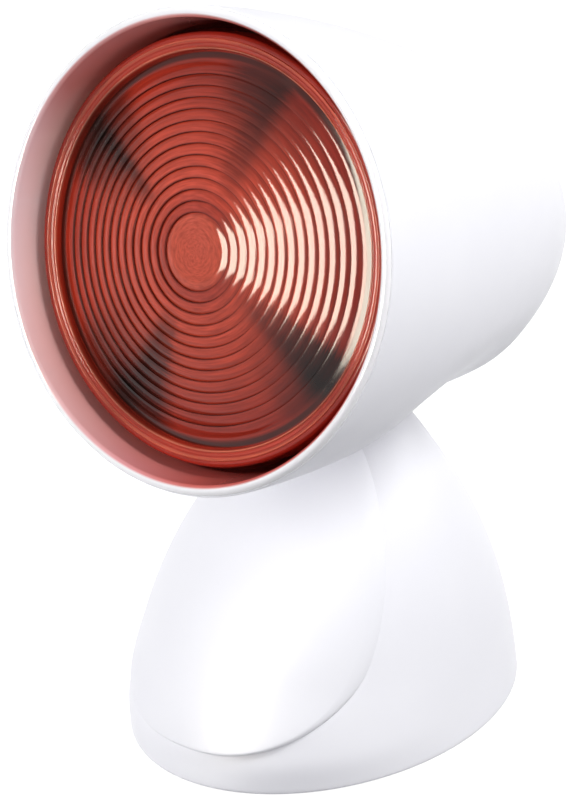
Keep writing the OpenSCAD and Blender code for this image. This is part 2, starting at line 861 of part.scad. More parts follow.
module bulb_lens() {
    edge_r = bulb_r - lens_edge_r;
    edge = [for (a = [90:-15:0]) [
        edge_r + lens_edge_r * cos(a),
        lens_edge_s - lens_edge_r * sin(a)]];
    inside = [for (i = [8:-1:0])
        let (r = (edge_r - 1) * i / 8) [r, lens_s(r) + lens_t]];
    color("firebrick")
        at_head()
            rotate_extrude()
                polygon(concat(
                    [[0, lens_back], [lens_disc_r - 1.5, lens_s(lens_disc_r)]],
                    lens_rings(),
                    [[lens_band_r, lens_s(lens_band_r) + ring_depth]],
                    edge,
                    [[bulb_r, bulb_seam_s], [bulb_r - glass_t, bulb_seam_s]],
                    inside));
}

module bulb_reflector() {
    steps = 10;
    outside = [for (i = [0:steps])
        let (s = bulb_seam_s + (neck_start_s - bulb_seam_s) * i / steps) [reflector_r(s), s]];
    inside = [for (i = [steps:-1:0])
        let (s = bulb_seam_s + (neck_start_s - bulb_seam_s) * i / steps)
            [reflector_r(s) - glass_t, s]];
    color("silver")
        at_head()
            rotate_extrude()
                polygon(concat(outside, [
                    [bulb_neck_r, neck_end_s],
                    [skirt_r, bulb_cap_s],
                    [skirt_r - glass_t, bulb_cap_s],
                    [bulb_neck_r - glass_t, neck_end_s]], inside));
}

module bulb_skirt()
    color("lightgray")
        at_head()
            rotate_extrude()
                polygon([
                    [bulb_neck_r, neck_end_s - 4],
                    [bulb_neck_r + cap_sheet, neck_end_s - 4],
                    [bulb_neck_r + cap_sheet, neck_end_s],
                    [skirt_r + cap_sheet, bulb_cap_s],
                    [skirt_r, bulb_cap_s],
                    [bulb_neck_r, neck_end_s]]);

module bulb_cap() {
    turns = floor((cap_len - 4) / cap_pitch);
    start = bulb_cap_s + 2;
    thread = [for (i = [0:turns - 1], k = [0:2]) [
        cap_r - [1, 0, 0][k] * cap_thread_depth,
        start + (i + [0, 0.35, 0.65][k]) * cap_pitch]];
    root_r = cap_r - cap_thread_depth;
    color("silver")
        at_head()
            rotate_extrude()
                polygon(concat(
                    [[root_r - cap_sheet, bulb_cap_s], [root_r, bulb_cap_s]],
                    thread,
                    [[root_r, start + turns * cap_pitch], [root_r - 0.5, cap_end_s],
                        [root_r - 0.5 - cap_sheet, cap_end_s]]));
}

module cap_insulator() {
    top_r = cap_r - cap_thread_depth - 0.5;
    color("black")
        at_head()
            translate([0, 0, cap_end_s])
                cylinder(r1 = top_r, r2 = 6, h = cap_insulator_h);
}

module cap_contact()
    color("silver")
        at_head()
            translate([0, 0, cap_end_s + cap_insulator_h])
                cylinder(r1 = 5, r2 = 4, h = cap_tip_h);

module bulb_filament()
    color("dimgray")
        at_head()
            translate([0, 0, focus_s])
                rotate([0, 0, 120])
                    rotate_extrude(angle = 300)
                        translate([filament_r, 0])
                            circle(r = coil_r);

// Two wires that carry the filament, on a glass stem in the bulb's neck
module filament_supports()
    color("lightgray")
        at_head() {
            for (a = [120, 60])
                rotate([0, 0, a])
                    translate([filament_r, 0, focus_s + coil_r])
                        cylinder(r = coil_r - 0.1, h = neck_end_s - focus_s + 1);
            translate([0, 0, neck_end_s + 1])
                cylinder(r1 = bulb_neck_r - glass_t - 5, r2 = skirt_r - glass_t,
                    h = bulb_taper_len - 1);
        }

// ---- Stand: oval sections whose edges follow cubic curves from the table to the top ----

section_points = 48;
section_levels = 16;

function cubic(c, u) =
    c[0] * pow(1 - u, 3) + 3 * c[1] * u * pow(1 - u, 2) + 3 * c[2] * u * u * (1 - u) + c[3] * pow(u, 3);

function half_w(z) = cubic([foot_half_w, low_half_w, high_half_w, top_half_w], z / stand_top);
function front(z) = pivot_y - cubic([foot_front, low_front, high_front, top_front], z / stand_top);
function back(z) = pivot_y + cubic([foot_back, low_back, high_back, top_back], z / stand_top);

function middle(z) =
    front(z) + (back(z) - front(z)) * (middle_low + (middle_high - middle_low) * z / stand_top);

function ease(t) = let (u = min(max(t, 0), 1)) u * u * (3 - 2 * u);

// The front half's power: 2 is a plain oval, more is fuller at the corners
function corner_power(z) =
    2 + corner_fullness * min(ease(z / corner_z), ease((corner_top - z) / (corner_top - corner_z)));

// The stand's front surface, grown by that much
function front_y(x, z, grow) =
    let (power = corner_power(z), side = 1 - pow(abs(x) / (half_w(z) + grow), power))
        middle(z) - (middle(z) - front(z) + grow) * pow(side, 1 / power);

function section(z, grow) = [
    for (i = [0:section_points - 1])
        let (a = 360 * i / section_points,
            share = a > 180 ? 2 / corner_power(z) : 1,
            reach = a > 180 ? middle(z) - front(z) : back(z) - middle(z))
            [(half_w(z) + grow) * sign(cos(a)) * pow(abs(cos(a)), share),
                middle(z) + (reach + grow) * sign(sin(a)) * pow(abs(sin(a)), share), z]];

module stand_form(grow, z0, z1, levels = section_levels) {
    n = section_points;
    points = [for (j = [0:levels]) each section(z0 + (z1 - z0) * j / levels, grow)];
    walls = [for (j = [0:levels - 1], i = [0:n - 1], half = [0, 1])
        let (a = j * n + i, b = j * n + (i + 1) % n)
            half == 0 ? [a, a + n, b + n] : [a, b + n, b]];
    bottom = [[for (i = [0:n - 1]) i]];
    top = [[for (i = [n - 1:-1:0]) levels * n + i]];
    polyhedron(points = points, faces = concat(bottom, walls, top), convexity = 10);
}

plate_low = shell_lift + plate_set;
plate_top = plate_low + plate_t;
flange_top = pivot_z - flange_drop;
flange_half_x = flange_screw_x + 5;
flange_half_y = flange_screw_y + 5;

module tower_places(z) {
    for (side = [-1, 1]) {
        translate([side * front_tower_x, pivot_y - front_tower_y, z])
            children();
        translate([side * back_tower_x, pivot_y + back_tower_y, z])
            children();
    }
}

module flange_screw_places(z)
    for (sx = [-1, 1], sy = [-1, 1])
        translate([sx * flange_screw_x, pivot_y + sy * flange_screw_y, z])
            children();

leaf_boss_r = leaf_peg_r + boss_wall;

module leaf_peg_places()
    for (z = [leaf_peg_low, leaf_peg_high])
        translate([0, front_y(0, z, 0), z])
            children();

// What lies in front of the leaf's middle at its pegs
module before_the_leaf()
    for (z = [leaf_peg_low, leaf_peg_high])
        translate([0, front_y(0, z, leaf_t / 2), z])
            rotate([-atan(front_y(0, z + 0.5, 0) - front_y(0, z - 0.5, 0)), 0, 0])
                translate([-leaf_boss_r, -big, -leaf_boss_r])
                    cube([2 * leaf_boss_r, big, 2 * leaf_boss_r]);

// The flat seat of the switch: +Z points out of the stand's back, +Y down
module at_switch()
    translate([0, back(switch_z) - seat_depth * cos(switch_lean),
        switch_z - seat_depth * sin(switch_lean)])
        rotate([switch_lean - 90, 0, 0])
            children();

inlet_seat_y = back(inlet_z) - collar_seat;
inlet_neck_r = inlet_collar_r - 1.5;
lock_r = inlet_collar_r - 0.6;
seat_margin = 1.5;
seat_wall = stand_wall;

module centred_box(w, h, z0, z1)
    translate([-w / 2, -h / 2, z0])
        cube([w, h, z1 - z0]);

module base_shell() {
    seat_w = bezel_w + 2 * seat_margin;
    seat_h = bezel_h + 2 * seat_margin;
    color(white)
        difference() {
            union() {
                difference() {
                    stand_form(0, shell_lift, stand_top);
                    difference() {
                        stand_form(-stand_wall, shell_lift - 0.5, stand_top);
                        over_the_tilt(2)
                            bell(head_gap + stand_wall);
                    }
                }
                intersection() {
                    stand_form(-stand_wall / 2, shell_lift, stand_top);
                    union() {
                        tower_places(plate_top)
                            cylinder(r = tower_r, h = stand_top);
                        flange_screw_places(flange_top)
                            cylinder(r = tower_r, h = stand_top);
                        leaf_peg_places()
                            along_y(leaf_boss_r, 0, leaf_boss_len);
                        at_switch()
                            centred_box(seat_w + 2 * stand_wall, seat_h + 2 * stand_wall,
                                -seat_wall, 2 * seat_depth);
                        translate([0, 0, inlet_z])
                            along_y(inlet_collar_r + 1, inlet_seat_y - seat_wall, inlet_seat_y + 10);
                    }
                }
            }
            over_the_tilt(3)
                head_form(head_gap);
            at_switch() {
                centred_box(seat_w, seat_h, 0, 4 * seat_depth);
                centred_box(switch_w + 0.2, switch_h + 0.2, -2 * seat_wall, 1);
            }
            translate([0, 0, inlet_z]) {
                along_y(inlet_collar_r + 0.5, inlet_seat_y, inlet_seat_y + 20);
                along_y(inlet_neck_r + 0.1, inlet_seat_y - 10, inlet_seat_y + 1);
                along_y(lock_r + 0.2, inlet_seat_y - seat_wall - 2 * lock_t, inlet_seat_y - seat_wall);
            }
            leaf_peg_places()
                along_y(leaf_peg_r + peg_fit, -5, leaf_boss_len + 1);
            tower_places(plate_top - 1)
                cylinder(r = screw_r, h = screw_bite + 2);
            flange_screw_places(flange_top - 1)
                cylinder(r = screw_r, h = screw_bite + 2);
            translate([-barrel_half_w - 0.3, pivot_y - neck_half_d - 0.3, flange_top])
                cube([2 * barrel_half_w + 0.6, 2 * neck_half_d + 0.6, stand_top]);
        }
}

// ---- Front leaf: an egg-shaped skin over the stand's front ----

leaf_angles = 72;
leaf_rings = 11;
leaf_edge_rho = 0.93;

// A point of the egg at share rho of the way out, as [x, z]
function egg(rho, a) =
    let (power = sin(a) < 0 ? leaf_low_power : leaf_high_power,
        reach = sin(a) < 0 ? leaf_wide_z - leaf_low : leaf_high - leaf_wide_z)
        [rho * leaf_half_w * sign(cos(a)) * pow(abs(cos(a)), 2 / power),
            leaf_wide_z + rho * reach * sign(sin(a)) * pow(abs(sin(a)), 2 / power)];

// Thickness of the leaf at share rho: full, then rounded off at the edge
function leaf_grow(rho) =
    rho < leaf_edge_rho ? leaf_t :
        leaf_t * (0.35 + 0.65 * sqrt(1 - pow((rho - leaf_edge_rho) / (1 - leaf_edge_rho), 2)));

function leaf_rho(j) = [0, 0.13, 0.26, 0.39, 0.52, 0.65, 0.78, 0.87, leaf_edge_rho, 0.97, 0.99, 1][j];

module leaf_form() {
    n = leaf_angles;
    outer = [for (j = [1:leaf_rings], i = [0:n - 1])
        let (q = egg(leaf_rho(j), 360 * i / n))
            [q[0], front_y(q[0], q[1], leaf_grow(leaf_rho(j))), q[1]]];
    inner = [for (j = [1:leaf_rings], i = [0:n - 1])
        let (q = egg(leaf_rho(j), 360 * i / n))
            [q[0], front_y(q[0], q[1], leaf_gap), q[1]]];
    centre = [[0, front_y(0, leaf_wide_z, leaf_t), leaf_wide_z],
        [0, front_y(0, leaf_wide_z, leaf_gap), leaf_wide_z]];
    m = n * leaf_rings;
    c = 2 * m;
    front_faces = [for (j = [0:leaf_rings - 2], i = [0:n - 1], half = [0, 1])
        let (a = j * n + i, b = j * n + (i + 1) % n)
            half == 0 ? [a, b, b + n] : [a, b + n, a + n]];
    back_faces = [for (j = [0:leaf_rings - 2], i = [0:n - 1], half = [0, 1])
        let (a = m + j * n + i, b = m + j * n + (i + 1) % n)
            half == 0 ? [a, b + n, b] : [a, a + n, b + n]];
    edge_faces = [for (i = [0:n - 1], half = [0, 1])
        let (a = m - n + i, b = m - n + (i + 1) % n)
            half == 0 ? [a, b, b + m] : [a, b + m, a + m]];
    middle_faces = [for (i = [0:n - 1], half = [0, 1])
        half == 0 ? [c, (i + 1) % n, i] : [c + 1, m + i, m + (i + 1) % n]];
    polyhedron(points = concat(outer, inner, centre),
        faces = concat(front_faces, back_faces, edge_faces, middle_faces), convexity = 10);
}

module front_leaf()
    color(white)
        difference() {
            union() {
                leaf_form();
                difference() {
                    leaf_peg_places()
                        along_y(leaf_peg_r, -2 * leaf_peg_r - leaf_t, leaf_boss_len - tip_room);
                    before_the_leaf();
                }
            }
            over_the_tilt(3)
                head_form(head_gap);
            leaf_peg_places()
                along_y(screw_r, 1, leaf_boss_len);
        }

module leaf_screws()
    color("gray")
        leaf_peg_places()
            translate([0, leaf_boss_len, 0])
                rotate([-90, 0, 0])
                    screw(leaf_boss_len - tip_room, head_r = leaf_peg_r + boss_wall / 2);

// ---- Neck post ----

module neck_post()
    color("gainsboro")
        difference() {
            union() {
                at_pivot()
                    along_x(barrel_r, -barrel_half_w, barrel_half_w);
                translate([-barrel_half_w, pivot_y - neck_half_d, flange_top - flange_t / 2])
                    cube([2 * barrel_half_w, 2 * neck_half_d, flange_drop + flange_t / 2]);
                translate([-flange_half_x, pivot_y - flange_half_y, flange_top - flange_t])
                    cube([2 * flange_half_x, 2 * flange_half_y, flange_t]);
            }
            at_pivot()
                along_x(axle_r + axle_fit, -big, big);
            translate([0, pivot_y, flange_top - flange_t - 1])
                cylinder(r = channel_r, h = flange_drop + flange_t + 1);
            flange_screw_places(flange_top - flange_t - 1)
                cylinder(r = screw_r + hole_fit, h = flange_t + 2);
        }

module post_screws()
    color("gray")
        flange_screw_places(flange_top - flange_t)
            rotate([180, 0, 0])
                screw(flange_t + screw_bite);

// ---- Base ----

clamp_y = pivot_y + back_foot_y;
block_y = pivot_y - front_foot_y - 2;
pole_z = plate_top + pole_rise;

module foot_places(z)
    for (side = [-1, 1]) {
        translate([side * front_foot_x, pivot_y - front_foot_y, z])
            children();
        translate([side * back_foot_x, pivot_y + back_foot_y, z])
            children();
    }

module ballast_post_places(z)
    for (side = [-1, 1])
        translate([side * ballast_post_x, pivot_y - ballast_y, z])
            children();

module clamp_places(z)
    for (side = [-1, 1])
        translate([side * clamp_x, clamp_y, z])
            children();

module base_plate()
    color("gainsboro")
        difference() {
            union() {
                stand_form(-stand_wall - plate_gap, plate_low, plate_top, 1);
                ballast_post_places(plate_top - 0.5)
                    cylinder(r = ballast_post_r, h = ballast_t + 0.5);
                clamp_places(plate_top - 0.5)
                    cylinder(r = clamp_post_r, h = clamp_post_h + 0.5);
            }
            tower_places(plate_low - 1) {
                cylinder(r = screw_r + hole_fit, h = plate_t + 2);
                cylinder(r = screw_head_r + hole_fit, h = counterbore + 1);
            }
            foot_places(plate_low - 1)
                cylinder(r = foot_r, h = foot_pocket + 1);
            ballast_post_places(plate_top + 1)
                cylinder(r = screw_r, h = ballast_t);
            clamp_places(plate_top + 1)
                cylinder(r = screw_r, h = clamp_post_h);
        }

module base_screws()
    color("gray")
        tower_places(plate_low + counterbore)
            rotate([180, 0, 0])
                screw(plate_t - counterbore + screw_bite, head_h = counterbore - 0.1);

module rubber_feet()
    color("dimgray")
        foot_places(0) {
            cylinder(r1 = foot_r - 0.6, r2 = foot_r, h = 0.6);
            translate([0, 0, 0.6])
                cylinder(r = foot_r, h = plate_low + foot_pocket - 0.6);
        }

module ballast()
    color("dimgray")
        difference() {
            translate([0, pivot_y - ballast_y, plate_top])
                cylinder(r = ballast_r, h = ballast_t);
            ballast_post_places(plate_top - 1)
                cylinder(r = ballast_post_r + hole_fit, h = ballast_t + 2);
        }

module ballast_screws()
    color("gray")
        ballast_post_places(plate_top + ballast_t)
            screw(ballast_t - tip_room, head_r = 1.5 * ballast_post_r);

module pole_screw_places(z)
    for (side = [-1, 1], end = [-1, 1])
        translate([side * pole_x, block_y + end * 0.28 * block_d, z])
            children();

module terminal_block()
    color("white")
        difference() {
            translate([-block_w / 2, block_y - block_d / 2, plate_top])
                cube([block_w, block_d, block_h]);
            for (side = [-1, 1])
                translate([side * pole_x, 0, pole_z])
                    along_y(pole_r, block_y - block_d, block_y + block_d);
            pole_screw_places(pole_z)
                cylinder(r = pole_r, h = block_h);
        }

module terminal_screws()
    color("goldenrod")
        pole_screw_places(pole_z + lead_r + lead_gap)
            cylinder(r = pole_r - lead_gap, h = block_h / 3);

// ---- Cord inlet ----

module cord_gland()
    color("white")
        translate([0, 0, inlet_z])
            difference() {
                union() {
                    along_y(inlet_collar_r, inlet_seat_y, inlet_seat_y + collar_t);
                    along_y(inlet_neck_r, inlet_seat_y - seat_wall, inlet_seat_y);
                    along_y(lock_r, inlet_seat_y - seat_wall - lock_t, inlet_seat_y - seat_wall);
                }
                along_y(inlet_r, inlet_seat_y - 20, inlet_seat_y + 20);
            }

module cord_clamp()
    color("gainsboro")
        difference() {
            translate([-clamp_x - clamp_post_r, clamp_y - 1.2 * clamp_post_r, plate_top + clamp_post_h])
                cube([2 * clamp_x + 2 * clamp_post_r, 2.4 * clamp_post_r, clamp_t]);
            clamp_places(plate_top + clamp_post_h - 1)
                cylinder(r = screw_r + hole_fit, h = clamp_t + 2);
            translate([0, 0, plate_top + clamp_post_h - 0.4 * clamp_t])
                along_y(0.9 * inlet_r, clamp_y - 10, clamp_y + 10);
        }

module clamp_screws()
    color("gray")
        clamp_places(plate_top + clamp_post_h + clamp_t)
            screw(clamp_t + clamp_post_h - tip_room, head_r = 0.9 * clamp_post_r);

// ---- Switch ----

rocker_cavity_w = rocker_w + 2 * rocker_gap;
pin_reach = rocker_cavity_w / 2 + rocker_pin_len;

module at_rocker()
    at_switch()
        translate([0, 0, -rocker_pin_drop])
            children();

module switch_housing()
    color("whitesmoke")
        difference() {
            union() {
                at_switch()
                    centred_box(bezel_w, bezel_h, 0, bezel_t);
                at_switch()
                    centred_box(switch_w, switch_h, -switch_d, 0);
            }
            at_rocker() {
                along_x(rocker_r + rocker_gap, -rocker_cavity_w / 2, rocker_cavity_w / 2);
                centred_box(rocker_cavity_w, 2 * (rocker_r + rocker_gap), 0, switch_d);
                along_x(rocker_pin_r + pin_fit, -pin_reach - pin_fit, pin_reach + pin_fit);
            }
        }

module switch_rocker() {
    dish = rocker_travel / 2;
    color("whitesmoke")
        at_rocker()
            rotate([-dish, 0, 0])
                union() {
                    intersection() {
                        along_x(rocker_r, -rocker_w / 2, rocker_w / 2);
                        union()
                            for (turn = [dish, -dish])
                                rotate([turn, 0, 0])
                                    centred_box(rocker_w + 2, 4 * rocker_r, -2 * rocker_r,
                                        rocker_rise);
                    }
                    along_x(rocker_pin_r, -pin_reach, pin_reach);
                }
}

module switch_terminals()
    color("goldenrod")
        at_switch()
            for (side = [-1, 1])
                translate([side * blade_x, 0, 0])
                    centred_box(blade_t, blade_w, -switch_d - blade_len, -switch_d);

// Leads in the stand: from the block and the switch up the neck and out along the axle
module stand_leads() {
    blade_mid = seat_depth + switch_d + 0.75 * blade_len;
    blade_y = back(switch_z) - blade_mid * cos(switch_lean);
    blade_z = switch_z - blade_mid * sin(switch_lean);
    beside_blade = blade_x + blade_t / 2 + lead_r + lead_gap;
    block_top_y = block_y + block_d / 2;
    in_block_y = block_y + 0.31 * block_d;
    under_z = pivot_z - flange_drop;
    pair_x = 1.5 * lead_r;
    over_ballast = plate_top + ballast_t + screw_head_h + 1.2 * lead_r;
    rise = [
        [pair_x, pivot_y, under_z],
        [pair_x, pivot_y, pivot_z - 4 * axle_r],
        [pair_x + 0.2, pivot_y, pivot_z - 2 * axle_r],
        [3 * lead_r, pivot_y, pivot_z - axle_r],
        [crossing_x / 3, pivot_y, pivot_z - lead_r],
        [crossing_x / 2, pivot_y, pivot_z],
        [crossing_x - 2 * lead_r, pivot_y, pivot_z],
        [crossing_x, pivot_y, pivot_z]];
    left_rise = [for (p = rise) [-p[0], p[1], p[2]]];
    color("ivory") {
        lead(concat([
            [pole_x, in_block_y, pole_z],
            [pole_x, block_top_y - 2 * lead_r, pole_z],
            [pole_x, block_top_y + lead_r, pole_z],
            [1.15 * pole_x, block_top_y + block_d / 2, plate_top + block_h + 2 * lead_r],
            [1.3 * pole_x, pivot_y - 0.9 * ballast_r, plate_top + ballast_t + block_h],
            [0.8 * pole_x, pivot_y - 2 * channel_r, under_z - 5 * flange_t],
            [pair_x, pivot_y, under_z - 1.5 * flange_t]], rise), [1, 0, 0]);
        lead(concat([
            [-beside_blade, blade_y, blade_z],
            [-beside_blade, blade_y - 2 * lead_r, blade_z],
            [-beside_blade - lead_r / 2, blade_y - 5 * lead_r, blade_z],
            [-pole_x, pivot_y + 4 * channel_r, plate_top + ballast_t + block_h],
            [-0.7 * pole_x, pivot_y + 1.3 * channel_r, under_z - 5 * flange_t],
            [-pair_x, pivot_y, under_z - 1.5 * flange_t]], left_rise), [1, 0, 0]);
        lead([
            [beside_blade, blade_y, blade_z],
            [beside_blade, blade_y - 2 * lead_r, blade_z],
            [beside_blade + lead_r, blade_y - 5 * lead_r, blade_z],
            [ballast_r / 2, pivot_y + ballast_y, over_ballast + 2 * lead_r],
            [0.83 * ballast_r, pivot_y - ballast_y / 2, over_ballast],
            [0.55 * ballast_r, pivot_y - 2 * ballast_y, over_ballast],
            [-pole_x / 3, block_top_y + 0.8 * block_d, over_ballast],
            [-pole_x, block_top_y + 5 * lead_r, pole_z + 2 * lead_r],
            [-pole_x, block_top_y + lead_r, pole_z],
            [-pole_x, block_top_y - 2 * lead_r, pole_z],
            [-pole_x, in_block_y, pole_z]], [1, 0, 0]);
    }
}

shade_shell();
inner_shade();
head_chassis();
chassis_screws();
lamp_holder();
holder_sleeve();
holder_contact();
holder_ring();
holder_terminals();
tilt_axle();
axle_nuts();
spring_washers();
friction_washers();
lamp_leads();
bulb_lens();
bulb_reflector();
bulb_skirt();
bulb_cap();
cap_insulator();
cap_contact();
bulb_filament();
filament_supports();
base_shell();
front_leaf();
leaf_screws();
neck_post();
post_screws();
base_plate();
base_screws();
rubber_feet();
ballast();
ballast_screws();
terminal_block();
terminal_screws();
cord_gland();
cord_clamp();
clamp_screws();
switch_housing();
switch_terminals();
stand_leads();
switch_rocker();
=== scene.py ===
"""Looks of the infrared heat therapy lamp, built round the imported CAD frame."""

import math

import bmesh
import bpy
from mathutils import Matrix, Vector


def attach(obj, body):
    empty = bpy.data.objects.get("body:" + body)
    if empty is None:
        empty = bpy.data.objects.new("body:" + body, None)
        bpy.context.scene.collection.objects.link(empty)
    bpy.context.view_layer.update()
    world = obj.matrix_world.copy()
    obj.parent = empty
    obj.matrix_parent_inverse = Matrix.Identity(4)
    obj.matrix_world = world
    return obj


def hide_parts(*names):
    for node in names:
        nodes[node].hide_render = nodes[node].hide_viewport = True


MM = 0.001
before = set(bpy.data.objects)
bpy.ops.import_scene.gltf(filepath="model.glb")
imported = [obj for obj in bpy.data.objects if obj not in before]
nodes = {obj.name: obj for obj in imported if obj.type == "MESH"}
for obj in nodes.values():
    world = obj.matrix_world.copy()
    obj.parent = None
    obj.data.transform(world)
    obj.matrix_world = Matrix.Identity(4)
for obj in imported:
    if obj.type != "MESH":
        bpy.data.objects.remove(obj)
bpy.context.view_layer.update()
scene = bpy.context.scene
scene.view_settings.view_transform = "Standard"

# ---- Sizes shared with the CAD, in millimetres ----

RIM_Y, RIM_Z, RIM_PITCH = -70.5, 166.0, 14.2
BELL_PITCH = RIM_PITCH - 1.04
BELL_R, BELL_LEN = 68.0, 162.0
BELL_A, BELL_B = 2.25, 1.54
WALL = 2.2
LIP = 1.6
PIVOT_BACK, PIVOT_DROP = 91.0, 38.0285
SIN, COS = math.sin(math.radians(RIM_PITCH)), math.cos(math.radians(RIM_PITCH))
PIVOT = Vector((0, RIM_Y + PIVOT_BACK * COS - PIVOT_DROP * SIN,
                RIM_Z - PIVOT_BACK * SIN - PIVOT_DROP * COS))
HEAD_GAP = 0.8
STAND_TOP = PIVOT.z - 10
STAND_WALL = 2.4


def pitched(pitch):
    """Matrix of a frame at the rim's centre: +Z back along the bulb, +Y down, in metres."""
    s, c = math.sin(math.radians(pitch)), math.cos(math.radians(pitch))
    return Matrix((
        (MM, 0, 0, 0),
        (0, -s * MM, c * MM, RIM_Y * MM),
        (0, -c * MM, -s * MM, RIM_Z * MM),
        (0, 0, 0, 1)))


HEAD = pitched(RIM_PITCH)
BELL = pitched(BELL_PITCH)
ROW = Matrix.Diagonal((MM, MM, MM, 1))

# ---- Camera ----


CAMERA_PLACE = (0.5758, -0.7517, 0.5304)
CAMERA_TURN, CAMERA_LIFT, CAMERA_LENS = 38.50, 24.64, 157.5


def add_camera():
    a, e = math.radians(CAMERA_TURN), math.radians(CAMERA_LIFT)
    right = Vector((math.cos(a), math.sin(a), 0))
    back = Vector((math.sin(a) * math.cos(e), -math.cos(a) * math.cos(e), math.sin(e)))
    up = back.cross(right)
    data = bpy.data.cameras.new("camera")
    data.lens = CAMERA_LENS
    data.sensor_width = 36
    data.clip_start = 0.05
    data.clip_end = 30
    cam = bpy.data.objects.new("camera", data)
    turn = Matrix((right, up, back)).transposed().to_4x4()
    cam.matrix_world = Matrix.Translation(CAMERA_PLACE) @ turn
    scene.collection.objects.link(cam)
    scene.camera = cam


# ---- Mesh helpers ----


def piece(name, points, faces, matrix, sharp=30):
    """A smooth-shaded mesh object, with edges over the given angle kept sharp."""
    mesh = bpy.data.meshes.new(name)
    mesh.from_pydata([matrix @ Vector(p) for p in points], [], faces)
    bm = bmesh.new()
    bm.from_mesh(mesh)
    bmesh.ops.remove_doubles(bm, verts=bm.verts, dist=1e-7)
    bmesh.ops.recalc_face_normals(bm, faces=bm.faces)
    bm.to_mesh(mesh)
    bm.free()
    ob = bpy.data.objects.new(name, mesh)
    scene.collection.objects.link(ob)
    shade(ob, sharp)
    return ob


def shade(ob, sharp=30):
    ob.data.polygons.foreach_set("use_smooth", [True] * len(ob.data.polygons))
    ob.data.set_sharp_from_angle(angle=math.radians(sharp))


def grid_faces(rows, columns, wrap=True, offset=0):
    faces = []
    last = columns if wrap else columns - 1
    for j in range(rows - 1):
        for i in range(last):
            a = offset + j * columns + i
            b = offset + j * columns + (i + 1) % columns
            faces.append((a, b, b + columns, a + columns))
    return faces


def revolved(name, profile, matrix, segments=192, sharp=30, closed=True):
    """Turns a profile of (radius, depth) points about the frame's +Z."""
    points = []
    for r, s in profile:
        for i in range(segments):
            a = 2 * math.pi * i / segments
            points.append((r * math.cos(a), r * math.sin(a), s))
    faces = grid_faces(len(profile), segments)
    if closed:
        n = (len(profile) - 1) * segments
        for i in range(segments):
            k = (i + 1) % segments
            faces.append((n + i, n + k, k, i))
    return piece(name, points, faces, matrix, sharp)


def box_mesh(name, low, high, matrix):
    x0, y0, z0 = low
    x1, y1, z1 = high
    points = [(x, y, z) for x in (x0, x1) for y in (y0, y1) for z in (z0, z1)]
    faces = [(0, 1, 3, 2), (4, 6, 7, 5), (0, 4, 5, 1), (2, 3, 7, 6), (0, 2, 6, 4), (1, 5, 7, 3)]
    return piece(name, points, faces, matrix)


def carve(ob, cutters, sharp=30, operation="DIFFERENCE"):
    """Cuts each cutter from the object, then drops the cutters."""
    for cutter in cutters:
        mod = ob.modifiers.new("cut", "BOOLEAN")
        mod.operation = operation
        mod.solver = "EXACT"
        mod.object = cutter
    graph = bpy.context.evaluated_depsgraph_get()
    mesh = bpy.data.meshes.new_from_object(ob.evaluated_get(graph))
    ob.modifiers.clear()
    old = ob.data
    ob.data = mesh
    mesh.name = ob.name
    bpy.data.meshes.remove(old)
    for cutter in cutters:
        data = cutter.data
        bpy.data.objects.remove(cutter)
        bpy.data.meshes.remove(data)
    shade(ob, sharp)


def upright(name, x, y, z0, z1, r, matrix=ROW, segments=40):
    """A round rod along the frame's Z."""
    place = matrix @ Matrix.Translation((x, y, 0))
    return revolved(name, [(0, z0), (r, z0), (r, z1), (0, z1)], place, segments)


def level_rod(name, x, z, y0, y1, r, segments=48):
    """A round rod along the row's Y."""
    place = ROW @ Matrix.Translation((x, 0, z)) @ Matrix.Rotation(math.radians(-90), 4, "X")
    return revolved(name, [(0, y0), (r, y0), (r, y1), (0, y1)], place, segments)


def smoothstep(a, b, x):
    t = min(1.0, max(0.0, (x - a) / (b - a)))
    return t * t * (3 - 2 * t)


# ---- The bell ----

# The finger scoops: depth by distance from the rim, then middle and half width in degrees
SCOOP = [(36, 0.0), (44, 0.5), (51, 1.7), (58, 2.8), (66, 3.8), (74, 4.5), (82, 4.7),
         (90, 4.4), (96, 3.7), (102, 2.5), (107, 1.1), (112, 0.0)]
SCOOP_MID, SCOOP_HALF = 42, 34


def bell_radius(s):
    return BELL_R * max(0.0, 1 - max(0.0, s / BELL_LEN) ** BELL_B) ** (1 / BELL_A)


def scoop_depth(s, phi):
    """Depth of the finger scoop at distance s and at an angle from straight down."""
    t = (abs(phi) - SCOOP_MID) / SCOOP_HALF
    if abs(t) >= 1 or s <= SCOOP[0][0] or s >= SCOOP[-1][0]:
        return 0.0
    for (s0, d0), (s1, d1) in zip(SCOOP, SCOOP[1:]):
        if s <= s1:
            u = (s - s0) / (s1 - s0)
            return (d0 + (d1 - d0) * u) * (1 - t * t) ** 2
    return 0.0


def bell_rings(inset, start, steps=110, segments=240, grow=0.0, scooped=True):
    """Rings of points on the bell, moved in by inset, from the rim's plane to the apex."""
    length = BELL_LEN - inset + grow
    radius = BELL_R - inset + grow
    skew = math.radians(RIM_PITCH - BELL_PITCH)
    rings = []
    for j in range(steps + 1):
        g = math.sin(0.5 * math.pi * j / steps) ** (2 / BELL_B)
        ring = []
        for i in range(segments):
            phi = 2 * math.pi * i / segments
            down = math.cos(phi)
            s0 = (start - radius * down * math.sin(skew)) / math.cos(skew)
            s = s0 + (length - s0) * g
            r = radius * max(0.0, 1 - max(0.0, s / length) ** BELL_B) ** (1 / BELL_A)
            if scooped:
                degrees = math.degrees(phi)
                r -= scoop_depth(s, degrees if degrees < 180 else degrees - 360)
            ring.append((r * math.sin(phi), r * down, s))
        rings.append(ring)
    return rings


